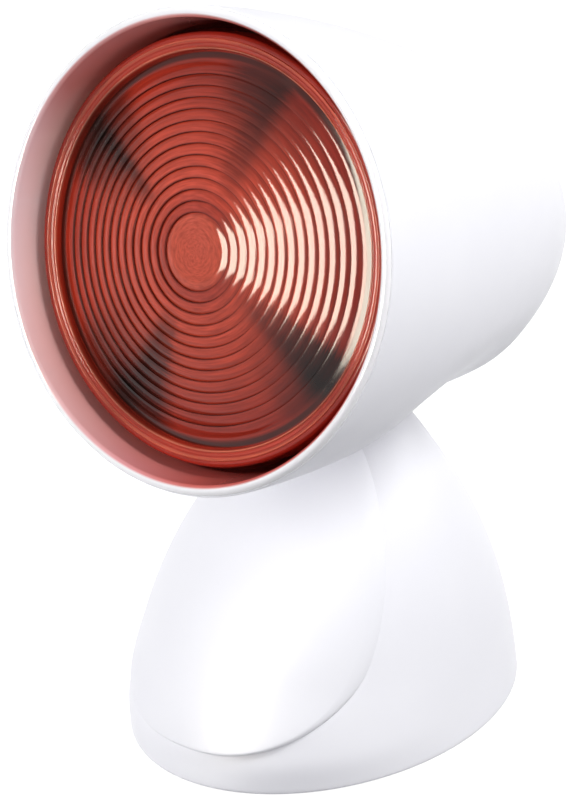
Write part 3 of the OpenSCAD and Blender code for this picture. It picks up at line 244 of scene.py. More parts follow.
# Distances along the bulb and radii of the shade's fittings, and the cuts in its wall
CHASSIS_S, CHASSIS_T = 116.3, 1.5
POST_R, POST_IN, POST_TURNS = 3.5, 10, (90, 210, 330)
SCREW_R, SCREW_BITE = 1.4, 9.0
EDGE, EDGE_SHARE = 0.35, 0.9965
SLOT_W, SLOT_D, SLOT_LOW, SLOT_HIGH, TILT_ENDS = 10.8, 7.3, -68, -2, (20, -10)
VENT_FIELD, VENT_STEP, VENT_HALF, VENT_S = 25.0, 6.0, 1.5, (127, 175)


def chassis_places():
    """Where the chassis is screwed to its posts, seen along the bulb."""
    circle = bell_radius(CHASSIS_S) - WALL - POST_IN
    return [(circle * math.cos(math.radians(a)), -circle * math.sin(math.radians(a)))
            for a in POST_TURNS]


def shade_posts():
    """The posts that carry the chassis, ended on the bell's wall."""
    posts = None
    for x, y in chassis_places():
        post = upright("posts", x, y, CHASSIS_S + CHASSIS_T, BELL_LEN + 6, POST_R, HEAD)
        if posts is None:
            posts = post
        else:
            carve(posts, [post], operation="UNION")
    rings = bell_rings(WALL / 2, -4, steps=56, segments=120, scooped=False)
    points = [p for ring in rings for p in ring]
    faces = grid_faces(len(rings), 120) + [tuple(range(120))]
    carve(posts, [piece("cutter", points, faces, BELL)], operation="INTERSECT")
    return posts


def make_shade():
    """The bell's moulding: a broken front edge, the outside, the inside, posts and cuts."""
    segments = 240
    outer = bell_rings(0, LIP + EDGE, segments=segments)
    edge = [[(x * EDGE_SHARE, y * EDGE_SHARE, s - EDGE) for x, y, s in outer[0]]]
    inner = bell_rings(WALL, LIP, segments=segments)
    inner.reverse()
    rings = edge + outer + inner
    points = [p for ring in rings for p in ring]
    faces = grid_faces(len(edge + outer), segments)
    start = len(edge + outer) * segments
    faces += grid_faces(len(inner), segments, offset=start)
    last = (len(rings) - 1) * segments
    for i in range(segments):
        k = (i + 1) % segments
        faces.append((last + i, last + k, k, i))
    ob = piece("shade", points, faces, BELL)
    carve(ob, [shade_posts()], 25, "UNION")
    cutters = [slot_cutter(turn) for turn in TILT_ENDS]
    cutters += vent_cutters()
    screw_end = CHASSIS_S + CHASSIS_T + SCREW_BITE
    cutters += [upright("cutter", x, y, CHASSIS_S, screw_end, SCREW_R, HEAD)
                for x, y in chassis_places()]
    carve(ob, cutters, 25)
    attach(ob, "head")
    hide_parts("shade_shell")
    return ob


def slot_cutter(turn):
    """The room the neck needs in the shade's underside, at one tilt."""
    place = Matrix.Translation(PIVOT * MM) @ Matrix.Rotation(math.radians(turn), 4, "X") @ ROW
    return box_mesh("cutter", (-SLOT_W, -SLOT_D, SLOT_LOW), (SLOT_W, SLOT_D, SLOT_HIGH), place)


def vent_cutters():
    """Seven slots with round ends, in a round field at the back."""
    cutters = []
    for i in range(-3, 4):
        x = i * VENT_STEP
        half = math.sqrt(VENT_FIELD ** 2 - x * x) - VENT_HALF
        outline = []
        for start, end in ((0, half), (math.pi, -half)):
            for k in range(25):
                a = start + math.pi * k / 24
                outline.append((x + VENT_HALF * math.cos(a), end + VENT_HALF * math.sin(a)))
        n = len(outline)
        points = [(px, py, s) for s in VENT_S for px, py in outline]
        faces = [tuple(range(n)), tuple(range(n, 2 * n))]
        faces += [(k, (k + 1) % n, n + (k + 1) % n, n + k) for k in range(n)]
        cutters.append(piece("cutter", points, faces, BELL))
    return cutters


# ---- The bulb ----

BULB_R, FOCUS = 60.5, 11.803
LENS_BACK, LENS_SAG, RINGS_R = 3.3, 6.0, 52.0
GLASS_T, GLASS_WALL = 3.0, 2.2
DISC_R, DISC_EDGE, RING_PITCH, RING_COUNT = 10.9, 1.3, 3.16, 13
SEAM_S, SEAM_LIP = 18.5, 3
RIM_S, RIM_IN, RIM_EDGE = 8.7, 55.3, 1.3
RIM_STEP, RIM_SLOPE, RIM_FOOT, RIM_TOP = 0.3, 0.45, 0.7, 0.75
# The rim's beads: radius, half width and height
RIM_BEADS = [(56.0, 0.35, 0.3), (57.2, 0.3, 0.14), (58.4, 0.35, 0.28)]
# One prism ring, by share of its pitch, and the band outside the last ring: offset and depth
RING_SHAPE = [(0.0, 0.62), (0.05, 0.05), (0.13, 0.01), (0.24, 0.0), (0.36, 0.03),
              (0.5, 0.1), (0.62, 0.19), (0.74, 0.3), (0.86, 0.44), (0.94, 0.56)]
BAND_SHAPE = [(0.0, 0.6), (0.4, 0.9), (1.2, 0.95)]


def reflector_radius(s):
    return math.sqrt(BULB_R ** 2 - 4 * FOCUS * (s - SEAM_S))


def lens_depth(r):
    return LENS_BACK + LENS_SAG * (r / RINGS_R) ** 2


def make_lens():
    """The pressed front glass: a plain disc, prism rings, a band that its material darkens with
    painted shade, and a raised, beaded rim.
    """
    profile = [(0.0, LENS_BACK)]
    for k in range(1, 9):
        r = (DISC_R - DISC_EDGE) * k / 8
        profile.append((r, lens_depth(r)))
    for i in range(RING_COUNT):
        r0 = DISC_R + i * RING_PITCH
        for t, d in RING_SHAPE:
            r = r0 + t * RING_PITCH
            profile.append((r, lens_depth(r) + d))
    band = DISC_R + RING_COUNT * RING_PITCH
    profile += [(band + r, lens_depth(band) + d) for r, d in BAND_SHAPE]
    profile += [(RIM_IN, lens_depth(RIM_IN) + RIM_FOOT), (RIM_IN + RIM_STEP, RIM_S + RIM_TOP)]
    for k in range(1, 41):
        r = RIM_IN + RIM_STEP + (BULB_R - RIM_EDGE - RIM_IN - RIM_STEP) * k / 40
        bead = sum(max(0.0, 1 - ((r - at) / half) ** 2) * high for at, half, high in RIM_BEADS)
        profile.append((r, RIM_S + RIM_SLOPE * (1 - k / 40) - bead))
    for k in range(1, 13):
        a = math.radians(90 - 90 * k / 12)
        profile.append((BULB_R - RIM_EDGE + RIM_EDGE * math.cos(a),
                        RIM_S + RIM_EDGE * (1 - math.sin(a))))
    profile += [(BULB_R, SEAM_S), (BULB_R - GLASS_WALL, SEAM_S),
                (BULB_R - GLASS_WALL, SEAM_S - SEAM_LIP)]
    for k in range(12, -1, -1):
        r = (RIM_IN - 1) * k / 12
        profile.append((r, lens_depth(r) + GLASS_T))
    ob = revolved("lens", profile, HEAD, segments=256, sharp=38, closed=False)
    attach(ob, "bulb")
    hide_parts("bulb_lens")
    return ob


# The liner: its lip inside the bell's edge, its gaps to the bell and the bulb, and its bowl
LIP_IN, LINER_GAP, LINER_T = 0.5, 0.15, 1.2
THROAT_GAP, BOWL_GAP, BOWL_START, BOWL_END = 2.2, 3.5, 4, 62


def make_liner():
    """The inner shade: a rounded lip, a throat and a bowl that follows the bulb."""
    lip_out, liner_r = BELL_R - LIP_IN, BELL_R - WALL - LINER_GAP
    lip_in = liner_r - LINER_T
    bead = (lip_out - lip_in) / 2
    throat_r, throat_s = BULB_R + THROAT_GAP, SEAM_S + 1
    profile = []
    for k in range(0, 33):
        a = math.radians(180 * k / 32)
        profile.append((lip_out - bead + bead * math.cos(a), LIP * (1 - math.sin(a))))
    for k in range(1, 13):
        t = k / 12
        profile.append((lip_in + (throat_r - lip_in) * t, LIP + (throat_s - LIP) * t))
    bowl = [(reflector_radius(s) + BOWL_GAP, s) for s in
            [throat_s + BOWL_START + (BOWL_END - throat_s - BOWL_START) * k / 24
             for k in range(25)]]
    profile += bowl
    profile += [(r + LINER_T, s) for r, s in reversed(bowl)]
    profile += [(throat_r + LINER_T, throat_s), (liner_r, LIP)]
    ob = revolved("liner", profile, HEAD, segments=240, sharp=35)
    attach(ob, "head")
    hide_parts("inner_shade")
    return ob


# ---- The stand ----

# The stand's outline from the foot to the top: half width, and reach from the pivot each way
HALF_W = (52.5, 48.5, 46.0, 19.0)
FRONT = (85.2, 80.7, 56.7, 13.7)
BACK = (53.8, 52.8, 33.8, 6.3)
MID_LOW, MID_HIGH = 0.51, 0.40
CORNER, CORNER_Z, CORNER_TOP = 0.2, 12.0, 34.0
FOOT_ROUND = [(1.0, -1.2), (1.1, -0.75), (1.35, -0.35), (1.7, -0.1), (2.2, 0.0)]
INNER_LOW = 0.5
# The turns at which the swept head is cut from the stand's outside, and from its inside
SWEEP, INNER_SWEEP = (-20, -10, 0, 10), (-20, -5, 10)


def cubic(c, u):
    """A Bezier curve's value between its first and last number."""
    v = 1 - u
    return c[0] * v ** 3 + 3 * c[1] * u * v * v + 3 * c[2] * u * u * v + c[3] * u ** 3


def corner_power(z):
    """The front half's power: 2 is a plain oval, more is fuller at the corners."""
    rise = smoothstep(0, CORNER_Z, z)
    fall = smoothstep(0, CORNER_TOP - CORNER_Z, CORNER_TOP - z)
    return 2 + CORNER * min(rise, fall)


def oval(z):
    """Half width, front, back and middle of the stand's section at a height."""
    u = z / STAND_TOP
    front = PIVOT.y - cubic(FRONT, u)
    back = PIVOT.y + cubic(BACK, u)
    mid = front + (back - front) * (MID_LOW + (MID_HIGH - MID_LOW) * u)
    return cubic(HALF_W, u), front, back, mid


def stand_point(z, a, grow):
    """A point of the section at a height, at an angle from the right, grown outwards."""
    w, front, back, mid = oval(z)
    c, s = math.cos(a), math.sin(a)
    reach = (back - mid if s > 0 else mid - front) + grow
    share = 1 if s > 0 else 2 / corner_power(z)
    return ((w + grow) * math.copysign(abs(c) ** share, c),
            mid + reach * math.copysign(abs(s) ** share, s), z)


def front_y(x, z, grow):
    """Y of the stand's front at a place, grown outwards."""
    w, front, _, mid = oval(z)
    power = corner_power(z)
    side = max(0.0, 1 - (abs(x) / (w + grow)) ** power)
    return mid - (mid - front + grow) * side ** (1 / power)


def stand_solid(name, levels, segments=224):
    """A closed loft from (height, growth) levels."""
    points = []
    for z, grow in levels:
        for i in range(segments):
            points.append(stand_point(z, 2 * math.pi * i / segments, grow))
    faces = grid_faces(len(levels), segments)
    faces.append(tuple(range(segments)))
    n = (len(levels) - 1) * segments
    faces.append(tuple(range(n, n + segments)))
    return piece(name, points, faces, ROW)


def head_cutter(grow, turn):
    """The head's outside, grown and turned about the tilt axle."""
    segments = 120
    rings = bell_rings(0, -4, steps=56, segments=segments, grow=grow)
    points = [p for ring in rings for p in ring]
    faces = grid_faces(len(rings), segments) + [tuple(range(segments))]
    place = (Matrix.Translation(PIVOT * MM) @ Matrix.Rotation(math.radians(turn), 4, "X")
             @ Matrix.Translation(-PIVOT * MM) @ BELL)
    return piece("cutter", points, faces, place)


def sweep_cutters(grow):
    return [head_cutter(grow, turn) for turn in SWEEP]


PLATE_TOP, FLANGE_TOP, TOWER_R = 4.0, PIVOT.z - 47, 4.0
TOWER_END, FLANGE_END = 90, 100
TOWERS = [(30, PIVOT.y - 42), (-30, PIVOT.y - 42), (28, PIVOT.y + 19.5), (-28, PIVOT.y + 19.5)]
FLANGE_POSTS = [(x, PIVOT.y + y) for x in (-26, 26) for y in (-8, 8)]
PEG_R, PEG_ROOM, PEG_WALL, PEG_LEN, PEG_SINK, PEGS = 3.0, 0.2, 3, 9.0, 2.1, (30, 62)
NECK_W, NECK_D, NECK_LOW, NECK_HIGH = 10.3, 6.8, 59.84, 120
SWITCH_Z, SWITCH_LEAN, SEAT_DEPTH = 28.0, 18.5, 2.5
SEAT_W, SEAT_H, HOLE_W, HOLE_H = 12.5, 9.5, 9.7, 6.6
INLET_Z, INLET_SINK, INLET_BOSS_R, INLET_BOSS_END = 11.5, 1.4, 8, 10
COLLAR_R, BORE_R, LOCK_R, LOCK_LOW = 7.5, 5.6, 6.6, -6


def stand_insides():
    """Screw towers, flange posts, peg bosses and the seats' walls, ended inside the wall."""
    place = switch_matrix()
    blocks = [upright("cutter", x, y, PLATE_TOP, TOWER_END, TOWER_R) for x, y in TOWERS]
    blocks += [upright("cutter", x, y, FLANGE_TOP, FLANGE_END, TOWER_R)
               for x, y in FLANGE_POSTS]
    for z in PEGS:
        y = front_y(0, z, 0)
        blocks.append(level_rod("cutter", 0, z, y, y + PEG_LEN, PEG_R + PEG_WALL))
    y = oval(INLET_Z)[2] - INLET_SINK
    blocks.append(level_rod("cutter", 0, INLET_Z, y - STAND_WALL, y + INLET_BOSS_END, INLET_BOSS_R))
    w, h = SEAT_W + STAND_WALL, SEAT_H + STAND_WALL
    insides = box_mesh("insides", (-w, -h, -STAND_WALL), (w, h, 5), place)
    carve(insides, blocks, operation="UNION")
    levels = [(1 + (STAND_TOP - 1) * k / 40, -STAND_WALL / 2) for k in range(41)]
    carve(insides, [stand_solid("cutter", levels, 160)], operation="INTERSECT")
    return insides


def stand_holes():
    """The screws' holes in the towers and posts, and the pegs' holes in the front."""
    holes = []
    for foot, places in ((PLATE_TOP, TOWERS), (FLANGE_TOP, FLANGE_POSTS)):
        holes += [upright("cutter", x, y, foot - 1, foot + SCREW_BITE + 1, SCREW_R)
                  for x, y in places]
    for z in PEGS:
        y = front_y(0, z, 0)
        holes.append(level_rod("cutter", 0, z, y - 5, y + PEG_LEN + 1, PEG_R + PEG_ROOM))
    return holes


def make_stand():
    """The hollow stand, scooped for the swept head, with its neck opening and seats."""
    foot = FOOT_ROUND[-1][0]
    levels = FOOT_ROUND + [(foot + (STAND_TOP - foot) * k / 80, 0.0) for k in range(1, 81)]
    ob = stand_solid("stand_shell", levels)
    levels = [(INNER_LOW + (STAND_TOP - INNER_LOW) * k / 40, -STAND_WALL) for k in range(41)]
    inner = stand_solid("cutter", levels, 160)
    carve(inner, [head_cutter(HEAD_GAP + STAND_WALL, turn) for turn in INNER_SWEEP])
    carve(ob, [inner], 28)
    carve(ob, [stand_insides()], 28, "UNION")
    cutters = sweep_cutters(HEAD_GAP) + stand_holes()
    cutters.append(box_mesh("cutter", (-NECK_W, PIVOT.y - NECK_D, NECK_LOW),
                            (NECK_W, PIVOT.y + NECK_D, NECK_HIGH), ROW))
    cutters += seat_cutters()
    carve(ob, cutters, 28)
    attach(ob, "stand")
    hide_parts("base_shell")
    return ob


def switch_matrix():
    """Frame on the switch seat's floor, with +Z out of the stand's leaning back."""
    lean = math.radians(SWITCH_LEAN)
    _, _, back, _ = oval(SWITCH_Z)
    origin = Vector((0, back - SEAT_DEPTH * math.cos(lean), SWITCH_Z - SEAT_DEPTH * math.sin(lean)))
    return (Matrix.Translation(origin * MM)
            @ Matrix.Rotation(math.radians(SWITCH_LEAN - 90), 4, "X") @ ROW)


def seat_cutters():
    """The switch's seat and hole, and the cord inlet's collar seat, bore and lock pocket."""
    place = switch_matrix()
    cutters = [box_mesh("cutter", (-SEAT_W, -SEAT_H, 0), (SEAT_W, SEAT_H, 12), place),
               box_mesh("cutter", (-HOLE_W, -HOLE_H, -8), (HOLE_W, HOLE_H, 1), place)]
    y = oval(INLET_Z)[2] - INLET_SINK
    inlet = (Matrix.Translation((0, y * MM, INLET_Z * MM))
             @ Matrix.Rotation(math.radians(-90), 4, "X") @ ROW)
    for r, low, high in ((COLLAR_R, 0, 20), (BORE_R, -10, 1), (LOCK_R, LOCK_LOW, -STAND_WALL)):
        cutters.append(upright("cutter", 0, 0, low, high, r, inlet, 64))
    return cutters


LEAF_T, LEAF_GAP = 2.5, 0.3
LEAF_LOW, LEAF_WIDE, LEAF_HIGH, LEAF_W = 12.0, 38.0, 96.0, 40.0
LEAF_EYE, LEAF_EDGE, LEAF_EDGE_T = 0.05, 0.955, 0.30
EGG_LOW, EGG_HIGH = 2.5, 1.8


def egg(rho, a):
    """A point of the leaf's egg, at a share of its size and an angle from the right."""
    low = math.sin(a) < 0
    power = EGG_LOW if low else EGG_HIGH
    reach = LEAF_WIDE - LEAF_LOW if low else LEAF_HIGH - LEAF_WIDE
    c, s = math.cos(a), math.sin(a)
    return (rho * LEAF_W * math.copysign(abs(c) ** (2 / power), c),
            LEAF_WIDE + rho * reach * math.copysign(abs(s) ** (2 / power), s))


def leaf_ring(rho, grow, n):
    """A ring of the leaf at a share of its size, grown out from the stand's front."""
    ring = []
    for i in range(n):
        x, z = egg(rho, 2 * math.pi * i / n)
        ring.append((x, front_y(x, z, grow), z))
    return ring


def make_leaf():
    """The egg-shaped front cover, with a rounded edge and two pegs."""
    n = 256
    edge = LEAF_EDGE
    rhos = [LEAF_EYE + (edge - LEAF_EYE) * k / 30 for k in range(31)]
    rounding = [edge + (1 - edge) * math.sin(0.5 * math.pi * k / 8) for k in range(1, 9)]
    rings = []
    for rho in rhos + rounding:
        t = max(0.0, (rho - edge) / (1 - edge))
        bulge = (1 - LEAF_EDGE_T) * math.sqrt(max(0.0, 1 - t * t))
        rings.append(leaf_ring(rho, LEAF_T * (LEAF_EDGE_T + bulge), n))
    for rho in (1.0, 0.7, 0.35, LEAF_EYE):
        rings.append(leaf_ring(rho, LEAF_GAP, n))
    points = [p for ring in rings for p in ring]
    faces = grid_faces(len(rings), n)
    front = len(points)
    points.append((0, front_y(0, LEAF_WIDE, LEAF_T), LEAF_WIDE))
    points.append((0, front_y(0, LEAF_WIDE, LEAF_GAP), LEAF_WIDE))
    last = (len(rings) - 1) * n
    for i in range(n):
        k = (i + 1) % n
        faces.append((front, k, i))
        faces.append((front + 1, last + i, last + k))
    ob = piece("leaf", points, faces, ROW)
    pegs, screws = [], []
    for z in PEGS:
        y = front_y(0, z, 0)
        inside = front_y(0, z + PEG_R, PEG_SINK)
        pegs.append(level_rod("cutter", 0, z, inside, y + PEG_LEN - 1, PEG_R))
        screws.append(level_rod("cutter", 0, z, y + 1, y + PEG_LEN, SCREW_R))
    carve(ob, pegs, 28, "UNION")
    carve(ob, sweep_cutters(HEAD_GAP) + screws, 28)
    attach(ob, "stand")
    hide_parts("front_leaf")
    return ob


# ---- Materials ----


class Shader:
    """A Principled material built from a few node calls."""

    def __init__(self, name, color, roughness, metallic=0.0, coat=0.0, ior=1.45):
        self.mat = bpy.data.materials.new(name)
        self.mat.use_nodes = True
        self.tree = self.mat.node_tree
        self.bsdf = self.tree.nodes["Principled BSDF"]
        self.bsdf.inputs["Base Color"].default_value = (*color, 1)
        self.bsdf.inputs["Roughness"].default_value = roughness
        self.bsdf.inputs["Metallic"].default_value = metallic
        self.bsdf.inputs["Coat Weight"].default_value = coat
        self.bsdf.inputs["Coat Roughness"].default_value = 0.05
        self.bsdf.inputs["IOR"].default_value = ior
        self.place = None
        self.way = None

    def node(self, kind, **settings):
        made = self.tree.nodes.new(kind)
        for key, value in settings.items():
            setattr(made, key, value)
        return made

    def link(self, a, b):
        self.tree.links.new(a, b)

    def feed(self, sockets, values):
        """Sets each socket to a number or a colour, or links it to another node's output."""
        for socket, value in zip(sockets, values):
            if isinstance(value, tuple):
                socket.default_value = (*value, 1)
            elif isinstance(value, (int, float)):
                socket.default_value = value
            else:
                self.link(value, socket)

    def position(self):
        if self.place is None:
            self.place = self.node("ShaderNodeTexCoord")
        return self.place.outputs["Object"]

    def noise(self, scale, detail=3.0, stretch=None):
        source = self.position()
        if stretch:
            mapping = self.node("ShaderNodeMapping")
            mapping.inputs["Scale"].default_value = stretch
            self.link(source, mapping.inputs["Vector"])
            source = mapping.outputs["Vector"]
        return self.noise_at(source, scale, detail)

    def head_place(self, pitch):
        """Coordinates in the frame at the rim's centre, in millimetres: right, down, back."""
        inverse = pitched(pitch).inverted()
        mapping = self.node("ShaderNodeMapping")
        mapping.inputs["Location"].default_value = inverse.translation
        mapping.inputs["Rotation"].default_value = inverse.to_3x3().normalized().to_euler()
        mapping.inputs["Scale"].default_value = (1 / MM, 1 / MM, 1 / MM)
        self.link(self.position(), mapping.inputs["Vector"])
        split = self.node("ShaderNodeSeparateXYZ")
        self.link(mapping.outputs["Vector"], split.inputs["Vector"])
        return split.outputs

    def math(self, operation, a, b=0.0):
        made = self.node("ShaderNodeMath", operation=operation)
        self.feed(made.inputs, (a, b))
        return made.outputs[0]

    def polar(self, pitch):
        """Radius in mm, turn from 0 at the left through 0.5 at the right, and depth in mm.

        The way out from the axis is kept in self.way, for noises that have no seam."""
        x, y, z = self.head_place(pitch)
        square = self.math("ADD", self.math("MULTIPLY", x, x), self.math("MULTIPLY", y, y))
        radius = self.math("SQRT", square)
        turn = self.math("ARCTAN2", self.math("MULTIPLY", y, -1.0), x)
        self.way = (self.math("DIVIDE", x, radius), self.math("DIVIDE", y, radius))
        return radius, self.math("ADD", self.math("DIVIDE", turn, 2 * math.pi), 0.5), z

    def vector(self, x, y, z=0.0):
        made = self.node("ShaderNodeCombineXYZ")
        self.feed(made.inputs, (x, y, z))
        return made.outputs[0]

    def noise_at(self, vector, scale, detail=3.0):
        made = self.node("ShaderNodeTexNoise")
        made.inputs["Scale"].default_value = scale
        made.inputs["Detail"].default_value = detail
        self.link(vector, made.inputs["Vector"])
        return made.outputs["Fac"]

    def mix(self, factor, a, b):
        made = self.node("ShaderNodeMix", data_type="RGBA")
        self.feed((made.inputs[0], made.inputs[6], made.inputs[7]), (factor, a, b))
        return made.outputs[2]

    def ramp(self, source, stops, easing="LINEAR"):
        made = self.node("ShaderNodeValToRGB")
        made.color_ramp.interpolation = easing
        elements = made.color_ramp.elements
        while len(elements) < len(stops):
            elements.new(0.5)
        for element, (at, value) in zip(elements, stops):
            element.position = at
            element.color = (*value, 1) if isinstance(value, tuple) else (value, value, value, 1)
        self.link(source, made.inputs["Fac"])
        return made.outputs["Color"]

    def color_from(self, source, stops):
        self.link(self.ramp(source, stops), self.bsdf.inputs["Base Color"])

    def roughness_from(self, source, stops):
        self.link(self.ramp(source, stops), self.bsdf.inputs["Roughness"])

    def bump(self, source, strength, distance):
        made = self.node("ShaderNodeBump")
        made.inputs["Strength"].default_value = strength
        made.inputs["Distance"].default_value = distance
        self.link(source, made.inputs["Height"])
        self.link(made.outputs["Normal"], self.bsdf.inputs["Normal"])


def white_plastic():
    s = Shader("white_plastic", (0.87, 0.87, 0.885), 0.38)
    s.bsdf.inputs["Specular IOR Level"].default_value = 0.2
    cloud = s.noise(28, 2)
    s.color_from(cloud, [(0.3, (0.85, 0.848, 0.89)), (0.7, (0.87, 0.868, 0.905))])
    s.roughness_from(s.noise(160, 4), [(0.3, 0.34), (0.7, 0.43)])
    s.bump(s.noise(900, 3), 0.08, 0.00005)
    return s.mat


# Painted reflection of dark surroundings in the reflector behind the glass: how dark the glass
# looks round the lens, near the middle and near the edge:
# shares of a turn, starting at the left and going by way of the bottom
NEAR_WEDGES = [(0.0, 0.0), (0.165, 0.1), (0.195, 0.9), (0.215, 0.8), (0.235, 0.1), (0.39, 0.1),
               (0.42, 0.7), (0.44, 0.5), (0.46, 0.0), (0.66, 0.0), (0.69, 0.6), (0.71, 0.5),
               (0.74, 0.0), (0.895, 0.1), (0.915, 0.9), (0.935, 0.5), (0.95, 0.0)]
FAR_WEDGES = [(0.0, 0.12), (0.08, 0.1), (0.13, 0.7), (0.18, 1.0), (0.215, 0.9), (0.25, 0.25),
              (0.35, 0.2), (0.38, 0.6), (0.415, 1.0), (0.44, 0.95), (0.46, 0.1), (0.62, 0.0),
              (0.675, 0.3), (0.7, 0.9), (0.73, 0.8), (0.78, 0.3), (0.86, 0.1), (0.89, 0.75),
              (0.92, 1.0), (0.95, 0.9), (0.985, 0.2)]


def red_glass():
    """Ruby glass, with painted light and shade by radius, painted shade in the grooves between the
    rings, a painted dark band, and dark wedges that are a painted reflection of dark surroundings
    in the reflector behind.
    """
    s = Shader("red_glass", (0.62, 0.07, 0.03), 0.07)
    s.bsdf.inputs["Specular IOR Level"].default_value = 0.3
    radius, turn, _ = s.polar(RIM_PITCH)
    share = s.math("DIVIDE", radius, BULB_R)
    streak = s.noise_at(s.vector(*s.way, s.math("MULTIPLY", radius, 0.55)), 3.0, 4)
    # Painted light and shade by radius on the ruby red: a darker ring at the disc's edge, a darker
    # outer zone and bright painted rings near the rim
    glow = s.ramp(share, [(0.0, (0.60, 0.085, 0.045)), (0.165, (0.58, 0.08, 0.04)),
                          (0.185, (0.42, 0.04, 0.02)), (0.3, (0.60, 0.065, 0.03)),
                          (0.6, (0.57, 0.055, 0.024)), (0.86, (0.44, 0.032, 0.014)),
                          (0.918, (0.5, 0.035, 0.015)), (0.924, (0.8, 0.22, 0.12)),
                          (0.932, (0.5, 0.035, 0.015)), (0.943, (0.6, 0.06, 0.03)),
                          (0.95, (0.48, 0.03, 0.014)), (0.963, (0.72, 0.14, 0.07)),
                          (0.972, (0.46, 0.03, 0.014)), (1.0, (0.38, 0.02, 0.01))])
    deep = s.mix(1.0, glow, s.ramp(streak, [(0.3, 0.62), (0.7, 1.0)]))
    deep.node.blend_type = "MULTIPLY"
    wander = s.math("MULTIPLY_ADD", streak, 0.03)
    wander.node.inputs[2].default_value = -0.015
    bent = s.math("ADD", turn, wander)
    # Painted reflection: dark wedges where the reflector behind the glass mirrors dark surroundings
    near = s.ramp(bent, NEAR_WEDGES, "EASE")
    far = s.ramp(bent, FAR_WEDGES, "EASE")
    wedge = s.mix(s.ramp(share, [(0.35, 0.0), (0.8, 1.0)]), near, far)
    reach = s.ramp(share, [(0.28, 0.0), (0.42, 0.75), (0.6, 1.0), (0.9, 1.0),
                           (0.93, 0.3), (1.0, 0.2)])
    # Painted shade: a dark band round the outside of the prism rings
    band = s.ramp(share, [(0.865, 0.0), (0.885, 0.85), (0.905, 0.9), (0.917, 0.0)])
    # All the painted darkness together: the painted reflection in the wedges and the painted shade
    # of the band
    shadow = s.math("MAXIMUM", s.math("MULTIPLY", wedge, reach), band)
    # Painted shade in the grooves between the prism rings
    phase = s.math("FRACT", s.math("DIVIDE", s.math("SUBTRACT", radius, DISC_R), RING_PITCH))
    line = s.ramp(phase, [(0.0, 0.9), (0.07, 0.75), (0.17, 0.05), (0.85, 0.0),
                          (0.95, 0.3), (1.0, 0.9)])
    ringed = s.ramp(share, [(0.17, 0.0), (0.185, 1.0), (0.84, 1.0), (0.87, 0.0)])
    shadow = s.math("MAXIMUM", shadow, s.math("MULTIPLY", s.math("MULTIPLY", line, ringed), 0.85))
    s.link(s.mix(shadow, deep, (0.012, 0.004, 0.003)), s.bsdf.inputs["Base Color"])
    s.roughness_from(s.noise(90, 3), [(0.3, 0.06), (0.7, 0.15)])
    s.bump(s.noise(420, 3), 0.12, 0.0001)
    return s.mat


# The liner's painted light round its lip and near the glass: painted red light from the bulb, with
# painted shade. The red is painted, so it stays when the bulb is out. The painted shade is darkest
# between the bottom and the top right.
# Shares of a turn, starting at the left and going by way of the bottom
LIP_PAINTED_LIGHT = [(0.0, (0.90, 0.71, 0.74)), (0.06, (0.90, 0.69, 0.71)), (0.11, (0.87, 0.58, 0.58)),
             (0.17, (0.84, 0.48, 0.48)), (0.22, (0.76, 0.33, 0.34)), (0.28, (0.62, 0.15, 0.13)),
             (0.34, (0.52, 0.10, 0.09)), (0.5, (0.42, 0.07, 0.05)), (0.72, (0.26, 0.05, 0.045)),
             (0.765, (0.62, 0.2, 0.18)), (0.8, (0.8, 0.36, 0.34)), (0.86, (0.72, 0.31, 0.3)),
             (0.9, (0.68, 0.27, 0.26)), (0.95, (0.88, 0.6, 0.62)), (1.0, (0.90, 0.71, 0.74))]
DEEP_PAINTED_LIGHT = [(0.0, (0.90, 0.61, 0.57)), (0.06, (0.89, 0.54, 0.47)), (0.11, (0.86, 0.42, 0.37)),
              (0.17, (0.84, 0.35, 0.31)), (0.22, (0.78, 0.24, 0.2)), (0.28, (0.68, 0.13, 0.11)),
              (0.34, (0.3, 0.035, 0.03)), (0.5, (0.22, 0.02, 0.015)), (0.72, (0.16, 0.015, 0.012)),
              (0.78, (0.26, 0.03, 0.03)), (0.83, (0.68, 0.16, 0.13)), (0.89, (0.72, 0.2, 0.16)),
              (0.95, (0.88, 0.5, 0.42)), (1.0, (0.90, 0.61, 0.57))]


def liner_plastic():
    """The shade's glossy inside: a white lip, then painted red light from the bulb with painted
    shade, then painted dark shade in the gap by the glass.
    """
    s = Shader("liner_plastic", (0.86, 0.85, 0.87), 0.12)
    radius, turn, depth = s.polar(RIM_PITCH)
    cloud = s.noise_at(s.vector(*s.way, s.math("MULTIPLY", depth, 0.03)), 1.6, 2)
    bent = s.math("ADD", turn, s.math("MULTIPLY", s.math("SUBTRACT", cloud, 0.5), 0.03))
    # Painted red light from the bulb and painted shade, by turn and by depth
    painted_light = s.mix(s.ramp(s.math("DIVIDE", depth, SEAM_S), [(0.1, 0.0), (0.75, 1.0)]),
                 s.ramp(bent, LIP_PAINTED_LIGHT), s.ramp(bent, DEEP_PAINTED_LIGHT))
    lip = s.ramp(s.math("DIVIDE", radius, BELL_R), [(0.957, 0.0), (0.965, 1.0)])
    painted_light = s.mix(lip, painted_light, (0.88, 0.87, 0.89))
    # Painted shade in the gap next to the glass
    gap = s.ramp(s.math("DIVIDE", depth, SEAM_S), [(0.9, 0.0), (1.0, 0.9)])
    s.link(s.mix(gap, painted_light, (0.16, 0.012, 0.008)), s.bsdf.inputs["Base Color"])
    s.roughness_from(s.noise(120, 3), [(0.3, 0.08), (0.7, 0.16)])
    s.bump(s.noise(700, 3), 0.06, 0.00005)
    return s.mat


